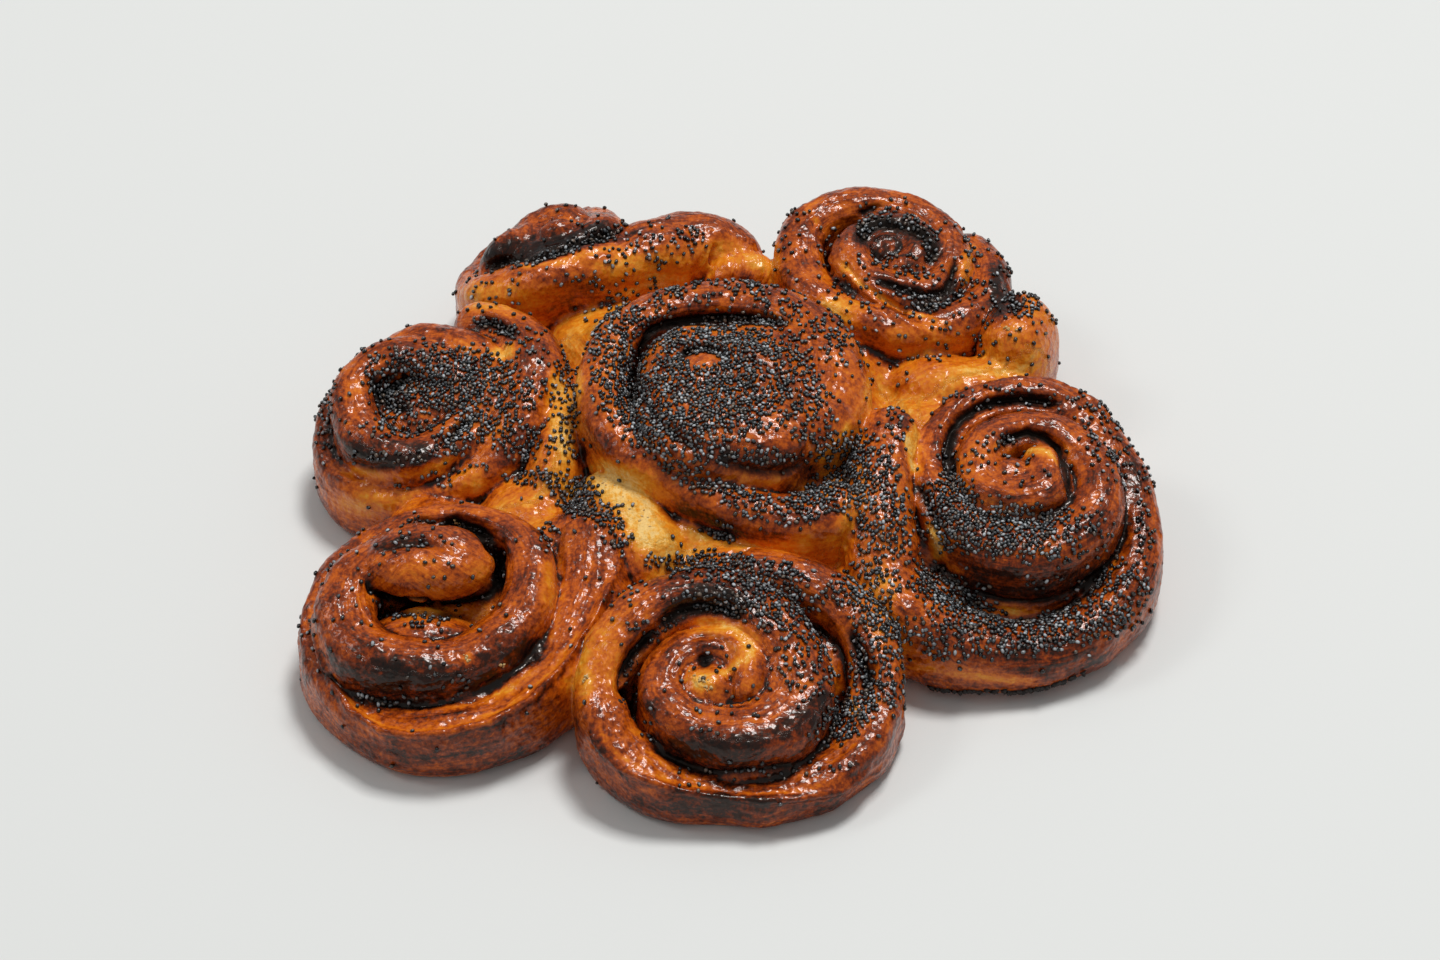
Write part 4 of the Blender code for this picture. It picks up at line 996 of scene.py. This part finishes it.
# poppy seeds: sizes in mm; drifts are picture point, reach across and down, turn in degrees and cover
seeds = {
    "length": 1.34,
    "width": 1.16,
    "height": 1.0,
    "rings": 4,
    "around": 6,
    "gap": 0.76,
    "fullCover": 1.25,        # seeds on each square mm where they lie thickest
    "kinds": (0.39, 0.34, 0.27),   # black, slate and brown; each piece has to stay under 200,000 triangles
    "drifts": (
        # swept places
        ((704, 361), 17, 8, 0, -0.97), ((686, 356), 6, 6, 0, -0.9), ((725, 296), 60, 9, -2, -0.3),
        ((435, 606), 50, 12, 0, -0.6), ((350, 385), 16, 40, 0, -0.85), ((430, 336), 70, 9, -6, -0.7),
        ((552, 345), 16, 26, -20, -0.7), ((1150, 470), 16, 60, 0, -0.4), ((715, 255), 20, 26, 0, -0.8),
        ((862, 372), 20, 30, 0, -0.8), ((800, 312), 40, 10, 0, -0.4), ((898, 240), 18, 14, 0, -0.7),
        # middle roll
        ((700, 402), 66, 58, 0, 0.95), ((715, 347), 62, 20, 0, 0.9), ((775, 375), 46, 50, 0, 0.55),
        ((615, 365), 26, 52, 0, 0.75), ((640, 425), 34, 20, 50, 0.75), ((690, 474), 50, 14, 32, 0.62),
        ((752, 504), 50, 14, 22, 0.62), ((810, 503), 26, 18, -20, 0.85), ((650, 312), 36, 14, -35, 0.60),
        ((720, 292), 60, 12, -3, 0.32), ((780, 303), 40, 12, 20, 0.45), ((750, 318), 56, 8, 4, 0.80),
        ((835, 345), 20, 40, -30, 0.22), ((760, 458), 46, 9, 0, 0.85), ((832, 452), 18, 26, 0, 0.6),
        ((722, 532), 20, 9, 20, 0.90), ((812, 420), 24, 40, 0, 0.35),
        # right roll
        ((1000, 530), 70, 27, 0, 0.97), ((955, 508), 24, 38, -25, 0.88), ((1075, 540), 36, 32, 0, 0.28),
        ((1050, 632), 90, 20, -12, 0.85), ((1120, 592), 26, 38, 35, 0.60), ((1145, 520), 10, 50, 0, 0.34),
        ((960, 604), 62, 22, 35, 0.90), ((925, 636), 40, 24, 15, 0.50), ((878, 505), 30, 70, -8, 0.62),
        ((855, 470), 26, 36, 0, 0.68), ((828, 492), 24, 22, 0, 0.85), ((1000, 398), 80, 12, 0, 0.13),
        ((1110, 440), 30, 50, -30, 0.20), ((1005, 440), 12, 6, 0, 0.75), ((990, 465), 50, 34, 0, 0.10),
        ((1030, 585), 60, 12, 0, 0.30), ((895, 430), 12, 24, 0, 0.35), ((870, 590), 26, 30, 0, 0.55),
        # front roll
        ((722, 568), 80, 14, 4, 0.72), ((775, 598), 46, 32, 25, 0.66), ((718, 604), 44, 10, 8, 0.90),
        ((884, 650), 17, 58, -8, 0.62), ((850, 715), 40, 20, -38, 0.82), ((806, 660), 30, 42, 0, 0.30),
        ((852, 600), 34, 14, 40, 0.50), ((640, 620), 30, 36, 0, 0.12), ((700, 690), 60, 50, 0, 0.035),
        ((760, 768), 90, 7, 0, 0.18), ((858, 655), 8, 36, 0, 0.70), ((690, 788), 20, 6, 0, 0.20),
        # front left roll
        ((580, 498), 46, 18, 28, 0.74), ((612, 530), 22, 14, 35, 0.55), ((530, 478), 34, 10, 10, 0.35),
        ((412, 543), 22, 6, 0, 0.40), ((548, 535), 10, 12, 0, 0.50), ((420, 620), 34, 8, 0, 0.35),
        ((380, 700), 40, 8, 0, 0.22), ((400, 600), 110, 80, 0, 0.03), ((420, 688), 90, 12, 0, 0.05),
        # left roll
        ((438, 381), 76, 34, 0, 1.0), ((490, 395), 48, 36, 0, 0.62), ((400, 425), 46, 12, 0, 0.45),
        ((515, 440), 26, 20, 0, 0.66), ((462, 436), 34, 16, -30, 0.80), ((390, 348), 66, 12, -12, 0.14),
        ((385, 458), 46, 7, 0, 0.60), ((325, 430), 8, 34, 0, 0.35), ((498, 326), 24, 8, 20, 0.75),
        ((562, 410), 20, 62, 0, 0.34), ((345, 385), 14, 40, 0, 0.10), ((450, 476), 50, 8, -12, 0.20),
        ((530, 345), 30, 16, 30, 0.30),
        # back left roll
        ((650, 250), 54, 22, -12, 0.22), ((600, 292), 30, 26, 0, 0.22), ((560, 253), 50, 5, -16, 0.45),
        ((600, 234), 30, 6, -18, 0.50), ((520, 292), 70, 30, 0, 0.05), ((640, 288), 34, 8, -20, 0.40),
        ((692, 234), 14, 10, 0, 0.55),
        # back right roll
        ((868, 226), 12, 14, 0, 0.42), ((905, 222), 28, 7, 20, 0.45), ((930, 245), 9, 16, 0, 0.38),
        ((898, 258), 24, 5, 0, 0.35), ((925, 302), 26, 7, 12, 0.60), ((880, 204), 30, 6, 0, 0.15),
        ((900, 270), 50, 9, 12, 0.14), ((1024, 306), 14, 18, 0, 0.34), ((870, 320), 100, 60, 0, 0.07),
        ((1000, 300), 60, 60, 0, 0.08), ((800, 240), 40, 30, 0, 0.08), ((965, 250), 10, 30, 0, 0.12),
    ),
    "everywhere": 0.006,
    "depthReach": 9,          # mm along the view that a drift reaches, and more for a wide one
    "depthSpread": 4,
    "holdsAbove": (-0.15, 0.25),   # upward share of the normal from which seeds stay on
    "crowding": 0.95,
    "lean": 0.28,
    "sizes": (0.84, 1.12),
    "raised": (0.22, 0.25),   # least, and what chance adds, in heights of a seed
    "tones": (0.25, 1),
    "shadeToLight": (0.15, 0.9),   # heights on a seed over which its painted shaded foot turns into its painted lit top
    "dents": {"blackPoppySeeds": 0.25, "slatePoppySeeds": 0.4, "brownPoppySeeds": 0.1},
    "dentWidth": 4,           # the higher, the narrower
}


# triangles of a closed shape: a first point, rings of points, a last point
def closedRings(count, turns):
    index = 1 + np.arange(count * turns).reshape(count, turns)
    after = np.roll(index, -1, axis=1)
    first = np.stack([np.zeros(turns, int), index[0], after[0]], axis=1)
    low = np.stack([index[:-1], index[1:], after[1:]], axis=2).reshape(-1, 3)
    high = np.stack([index[:-1], after[1:], after[:-1]], axis=2).reshape(-1, 3)
    last = np.stack([np.full(turns, 1 + count * turns), after[-1], index[-1]], axis=1)
    return np.concatenate([first, low, high, last])


# one seed: an ellipsoid of rings with a dent along one side, like a tiny kidney
def seedShape(dent):
    polar = np.linspace(0, math.pi, seeds["rings"] + 2)[1:-1, None]
    around = np.linspace(0, 2 * math.pi, seeds["around"], endpoint=False)[None, :]
    bend = 1 - dent * np.exp(-((np.cos(around) + 1) ** 2) * seeds["dentWidth"]) * np.sin(polar) ** 2
    x = np.cos(polar) * seeds["length"] / 2 + 0 * around
    y = np.sin(polar) * np.cos(around) * seeds["width"] / 2 * bend
    z = np.sin(polar) * np.sin(around) * seeds["height"] / 2 * (0.5 + 0.5 * bend)
    rings = np.stack([x, y, z], axis=2).reshape(-1, 3)
    points = np.concatenate([[[seeds["length"] / 2, 0, 0]], rings, [[-seeds["length"] / 2, 0, 0]]])
    return points, closedRings(seeds["rings"], seeds["around"])


# how thick the seeds lie at each point: the drifts' covers join as chances do, and a cover below 0
# sweeps them away
def seedCover(points, normals):
    seen, depth = inPicture(points)
    bare, swept = np.full(len(points), 1 - seeds["everywhere"]), np.ones(len(points))
    for (across, down), reachAcross, reachDown, turn, cover in seeds["drifts"]:
        place = onLoaf(across, down, crustTree)
        c, s = math.cos(math.radians(turn)), math.sin(math.radians(turn))
        dx, dy = seen[:, 0] - across, seen[:, 1] - down
        near = ((dx * c + dy * s) / reachAcross) ** 2 + ((dy * c - dx * s) / reachDown) ** 2
        reach = seeds["depthReach"] + max(reachAcross, reachDown) / seeds["depthSpread"]
        deep = ((depth - (place - eye) @ ahead) / reach) ** 2
        share = np.exp(-(near**3) - deep**2)
        if cover < 0:
            swept *= 1 + cover * share
        else:
            bare *= 1 - cover * share
    cover = (1 - bare) * swept * smoothStep(*seeds["holdsAbove"], normals[:, 2])
    return -np.log(1 - seeds["crowding"] * cover)   # tries needed, as later seeds find places taken


# places for seeds: random spots on the crust, kept by cover, then thinned so that none share a place
def seedSpots():
    mesh = crust.data
    points, normals, corners = pointsOf(mesh) / mm, normalsOf(mesh), cornersOf(mesh, 3)
    a, b, c = (points[corners[:, i]] for i in range(3))
    area = np.linalg.norm(np.cross(b - a, c - a), axis=1) / 2
    draw = np.random.default_rng(5)
    share = area * seedCover((a + b + c) / 3, normals[corners].mean(1))
    count = int(share.sum() * seeds["fullCover"])
    chosen = draw.choice(len(share), count, p=share / share.sum())
    u, v = draw.uniform(size=(2, count))
    u, v = np.where(u + v > 1, 1 - u, u), np.where(u + v > 1, 1 - v, v)
    spots = a[chosen] + u[:, None] * (b - a)[chosen] + v[:, None] * (c - a)[chosen]
    lie = normals[corners[chosen]].mean(1)
    taken, kept = {}, []
    for i, spot in enumerate(spots):
        cell = tuple((spot // seeds["gap"]).astype(int))
        close = (taken.get((cell[0] + p, cell[1] + q, cell[2] + r), ())
                 for p in (-1, 0, 1) for q in (-1, 0, 1) for r in (-1, 0, 1))
        if all(((spots[j] - spot) ** 2).sum() > seeds["gap"] ** 2 for group in close for j in group):
            taken.setdefault(cell, []).append(i)
            kept.append(i)
    return spots[kept], lie[kept] / np.linalg.norm(lie[kept], axis=1)[:, None]


# three pieces of seeds by kind: each seed leans a little off the crust, turned at random and partly sunk
def makeSeeds():
    spots, lie = seedSpots()
    draw = np.random.default_rng(8)
    count = len(spots)
    heading = draw.normal(size=(count, 3))
    tilted = lie + draw.normal(size=(count, 3)) * seeds["lean"]
    tilted /= np.linalg.norm(tilted, axis=1)[:, None]
    heading -= (heading * tilted).sum(1)[:, None] * tilted
    heading /= np.linalg.norm(heading, axis=1)[:, None]
    third = np.cross(tilted, heading)
    size = draw.uniform(*seeds["sizes"], count)
    least, more = seeds["raised"]
    spots = spots + lie * (seeds["height"] * (least + draw.uniform(0, more, count)))[:, None]
    kind = draw.choice(3, count, p=seeds["kinds"])
    made = []
    for number, (name, dent) in enumerate(seeds["dents"].items()):
        mine = kind == number
        shape, faces = seedShape(dent)
        axes = np.stack([heading[mine], third[mine], tilted[mine]], axis=1) * size[mine][:, None, None]
        points = shape[None] @ axes + spots[mine][:, None, :]
        offsets = np.arange(mine.sum())[:, None, None] * len(shape)
        allFaces = (faces[None] + offsets).reshape(-1, 3)
        piece = newObject(name, (points.reshape(-1, 3) * mm).tolist(), allFaces.tolist())
        # painted light and shade: each seed is painted dark at its foot as the shade between seeds and
        # lighter towards its top as its lit side; few of them are pale
        litTopShare = smoothStep(*seeds["shadeToLight"], shape[:, 2] / (seeds["height"] / 2))
        toneAndLight = draw.uniform(*seeds["tones"], (mine.sum(), 1)) ** 2 * litTopShare
        setNumber(piece.data, "toneAndLight", toneAndLight.ravel())
        piece.data.shade_smooth()
        made.append(piece)
    print("poppy seeds:", count)
    return made


# burnt filling that ran out and torn crumb: picture points of each line, how many bits, their size and
# spread in mm; a line with its height given lies there, at the loaf's edge
bits = {
    "burntFilling": (
        (((912, 673), (940, 677), (960, 681), (990, 686), (1010, 691), (1035, 689), (1050, 683),
          (1070, 673)), 190, 1.5, 0.5, 1.0),
        (((515, 772), (535, 770), (550, 767), (585, 756)), 50, 0.9, 0.4, 0.6),
        (((405, 522), (440, 523), (462, 525), (480, 533), (493, 548), (499, 565), (498, 580)),
          60, 1.0, 1.6),
        (((372, 600), (400, 614), (440, 619), (468, 611)), 30, 0.9, 1.4),
        (((622, 708), (624, 690), (628, 672), (640, 652), (660, 632), (684, 612), (715, 602), (740, 610)),
          80, 1.0, 1.6),
        (((380, 392), (396, 402), (412, 410)), 30, 0.9, 2.0),
        (((484, 268), (510, 262), (540, 258), (570, 247), (600, 236)), 60, 1.0, 1.6),
        (((902, 290), (925, 300), (945, 295)), 30, 1.0, 1.4),
        (((700, 526), (720, 533), (740, 537)), 34, 1.0, 1.2),
    ),
    "tornCrumb": (
        (((455, 520), (460, 526)), 5, 0.9, 0.8), (((463, 655), (467, 661)), 5, 0.9, 0.8),
        (((498, 664), (503, 667)), 4, 0.8, 0.7), (((692, 672), (700, 680), (708, 690)), 16, 0.9, 1.3),
        (((926, 522), (934, 540), (942, 554)), 16, 0.8, 0.8), (((1004, 324), (1016, 332)), 8, 0.8, 0.9),
        (((600, 476), (622, 490), (640, 508), (650, 532)), 14, 0.7, 1.6),
        (((584, 678), (588, 684)), 5, 0.9, 0.8), (((848, 696), (856, 712)), 8, 0.8, 0.9),
    ),
}


# how every bit is shaped and laid
bitForm = {
    "rings": 4,
    "around": 7,
    "waves": (0.25, 0.2),     # in its radius
    "squash": 0.7,
    "tip": 0.75,
    "spread": (0.6, 0.6, 0.15),
    "outward": 1.08,          # how far past its line a bit lies that lies at the loaf's edge
    "levels": (0.3, 1.6),
    "sizes": (0.5, 1.25),
    "above": 0.02,            # mm above the table
}


# one bit: a small sphere grid whose radius wavers with two slow waves, squashed a little
def bitShape(draw):
    polar = np.linspace(0, math.pi, bitForm["rings"] + 2)[1:-1, None]
    around = np.linspace(0, 2 * math.pi, bitForm["around"], endpoint=False)[None, :]
    first, second = draw.uniform(0, 6), draw.uniform(0, 6)
    sideWave, topWave = bitForm["waves"]
    radius = 1 + sideWave * np.sin(2 * around + first) * np.sin(polar) + topWave * np.cos(3 * polar + second)
    x = radius * np.sin(polar) * np.cos(around)
    y = radius * np.sin(polar) * np.sin(around)
    z = bitForm["squash"] * radius * np.cos(polar) + 0 * around
    tip = bitForm["tip"]
    points = np.concatenate([[[0, 0, tip]], np.stack([x, y, z], axis=2).reshape(-1, 3), [[0, 0, -tip]]])
    return points, closedRings(bitForm["rings"], bitForm["around"])


# one piece of bits strewn along its lines, each where its own spot is nearest to the crust
def makeBits(name):
    draw = np.random.default_rng(31)
    points, faces, first = [], [], 0
    for line, count, size, spread, *level in bits[name]:
        corners = np.array(line, float)
        run = np.concatenate([[0], np.cumsum(np.linalg.norm(np.diff(corners, axis=0), axis=1))])
        for place in draw.uniform(0, run[-1], count):
            across, down = (np.interp(place, run, corners[:, i]) for i in range(2))
            spot = onLoaf(across, down, crustTree)
            spot = spot + draw.normal(size=3) * spread * np.array(bitForm["spread"])
            if level:
                x, y = spot[:2] * bitForm["outward"]
                spot = np.array([x, y, level[0] * draw.uniform(*bitForm["levels"])])
            hit = crustTree.find_nearest(Vector(spot))
            shape, shapeFaces = bitShape(draw)
            turn = np.linalg.qr(draw.normal(size=(3, 3)))[0]
            made = shape @ turn * (size / 2 * draw.uniform(*bitForm["sizes"])) + np.array(hit[0])
            made[:, 2] = np.maximum(made[:, 2], bitForm["above"])
            points.append(made)
            faces.append(shapeFaces + first)
            first += len(made)
    piece = newObject(name, (np.concatenate(points) * mm).tolist(), np.concatenate(faces).tolist())
    piece.data.shade_smooth()
    print(name, "pieces:", len(points))
    return piece


seedLook = {
    # dark colour, and light colour that also paints each seed's lit top
    "blackPoppySeeds": ("#030404", "#50565a"),
    "slatePoppySeeds": ("#060708", "#c8cdd0"),
    "brownPoppySeeds": ("#060403", "#7c6b5c"),
}

seedShell = {
    "netSize": 0.45,          # mm
    "netShare": 0.5,
    "fade": (0.3, 1.25),
    "roughness": 0.3,
    "ior": 1.6,
    "bump": 0.4,
    "netHeight": 0.2,         # mm
}


# poppy seed: a hard netted shell with a dull oily shine, so each seed is dark with one soft glint; its tone
# paints its top lighter as lit and its foot darker as shaded
def poppySeedShell(name, dark, light):
    material, tree, shader = newMaterial(name + "Shell")
    toneAndLight = addNode(tree, "ShaderNodeAttribute", {"attribute_name": "toneAndLight"}).outputs["Fac"]
    where = addNode(tree, "ShaderNodeTexCoord").outputs["Object"]
    net = addNode(tree, "ShaderNodeTexNoise", {}, {
        "Vector": where, "Scale": perMillimetre(seedShell["netSize"]), "Detail": 2.0}).outputs["Fac"]
    mixed = addNode(tree, "ShaderNodeMath", {"operation": "MULTIPLY_ADD"}, {
        0: net, 1: seedShell["netShare"], 2: toneAndLight}).outputs[0]
    least, most = seedShell["fade"]
    faded = addNode(tree, "ShaderNodeMapRange", {}, {
        "Value": mixed, "From Min": least, "From Max": most}).outputs["Result"]
    colour = addNode(tree, "ShaderNodeMix", {"data_type": "RGBA"}, {
        "Factor": faded, 6: linear(dark), 7: linear(light)}).outputs[2]
    tree.links.new(colour, shader.inputs["Base Color"])
    shader.inputs["Roughness"].default_value = seedShell["roughness"]
    shader.inputs["IOR"].default_value = seedShell["ior"]
    bump = addNode(tree, "ShaderNodeBump", {}, {
        "Height": net, "Strength": seedShell["bump"],
        "Distance": seedShell["netHeight"] * mm}).outputs["Normal"]
    tree.links.new(bump, shader.inputs["Normal"])
    return material


for piece in makeSeeds():
    piece.data.materials.append(poppySeedShell(piece.name, *seedLook[piece.name]))
    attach(piece, "root")
    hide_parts("bun")

bitLook = {
    # dark and light colour, roughness
    "burntFilling": ("#060403", "#2a1a12", 0.5),
    "tornCrumb": ("#b98a4a", "#e6cc94", 0.85),
}

crumbGrain = {
    "size": 0.8,              # mm
    "height": 0.4,            # mm
    "bump": 0.7,
    "spread": (0.35, 0.68),
}


# burnt filling: sugar and seed paste baked to char, almost black, with dull specks;
# torn crumb: soft dough pulled open, cream and porous, so it never shines
def crumbMaterial(name, dark, light, roughness):
    material, tree, shader = newMaterial(name)
    where = addNode(tree, "ShaderNodeTexCoord").outputs["Object"]
    grain = addNode(tree, "ShaderNodeTexNoise", {}, {
        "Vector": where, "Scale": perMillimetre(crumbGrain["size"]), "Detail": 3.0}).outputs["Fac"]
    least, most = crumbGrain["spread"]
    spread = addNode(tree, "ShaderNodeMapRange", {}, {
        "Value": grain, "From Min": least, "From Max": most}).outputs["Result"]
    colour = addNode(tree, "ShaderNodeMix", {"data_type": "RGBA"}, {
        "Factor": spread, 6: linear(dark), 7: linear(light)}).outputs[2]
    tree.links.new(colour, shader.inputs["Base Color"])
    shader.inputs["Roughness"].default_value = roughness
    bump = addNode(tree, "ShaderNodeBump", {}, {
        "Height": grain, "Strength": crumbGrain["bump"],
        "Distance": crumbGrain["height"] * mm}).outputs["Normal"]
    tree.links.new(bump, shader.inputs["Normal"])
    return material


for name, look in bitLook.items():
    piece = makeBits(name)
    piece.data.materials.append(crumbMaterial(name, *look))
    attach(piece, "root")
    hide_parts("bun")

# the table, light and camera
room = {
    "floorSize": 6.0,
    "floor": "#e1e2df",
    "floorRoughness": 0.6,
    "world": ("#f2f4f6", 0.36),
    "lights": (
        # name, place, aim, size, watts, colour
        ("keySoftbox", (0.42, 0.66, 2.25), (0, 0, 0.02), 0.60, 38.0, "#ffffff"),
        ("leftSoftbox", (-1.30, 0.10, 1.50), (0, 0, 0.02), 0.50, 4.5, "#ffffff"),
    ),
}


# a pale table, an even world and two soft lamps that face their aims
def makeRoom():
    half = room["floorSize"] / 2
    corners = [(-half, -half, 0), (half, -half, 0), (half, half, 0), (-half, half, 0)]
    floor = newObject("floor", corners, [(0, 1, 2, 3)])
    material, _, shader = newMaterial("paleTable")
    shader.inputs["Base Color"].default_value = linear(room["floor"])
    shader.inputs["Roughness"].default_value = room["floorRoughness"]
    floor.data.materials.append(material)
    world = bpy.data.worlds.new("studio")
    bpy.context.scene.world = world
    world.use_nodes = True
    background = world.node_tree.nodes["Background"]
    background.inputs["Color"].default_value = linear(room["world"][0])
    background.inputs["Strength"].default_value = room["world"][1]
    for name, place, aim, size, watts, colour in room["lights"]:
        data = bpy.data.lights.new(name, "AREA")
        data.shape = "SQUARE"
        data.size = size
        data.energy = watts
        data.color = linear(colour)[:3]
        lamp = bpy.data.objects.new(name, data)
        bpy.context.scene.collection.objects.link(lamp)
        lamp.location = place
        lamp.rotation_euler = (Vector(aim) - Vector(place)).to_track_quat("-Z", "Y").to_euler()
    bpy.context.scene.view_settings.view_transform = "Standard"
    bpy.context.scene.view_settings.look = "None"


# the lens is the focal length in picture widths, times the sensor's width
def makeCamera():
    data = bpy.data.cameras.new("camera")
    data.sensor_width = picture["sensor"]
    data.lens = picture["focal"] / picture["width"] * data.sensor_width
    camera = bpy.data.objects.new("camera", data)
    bpy.context.scene.collection.objects.link(camera)
    camera.location = Vector(eye * mm)
    camera.rotation_euler = (math.pi / 2 - tilt, 0, 0)
    bpy.context.scene.camera = camera


makeRoom()
makeCamera()
print("room and camera set")
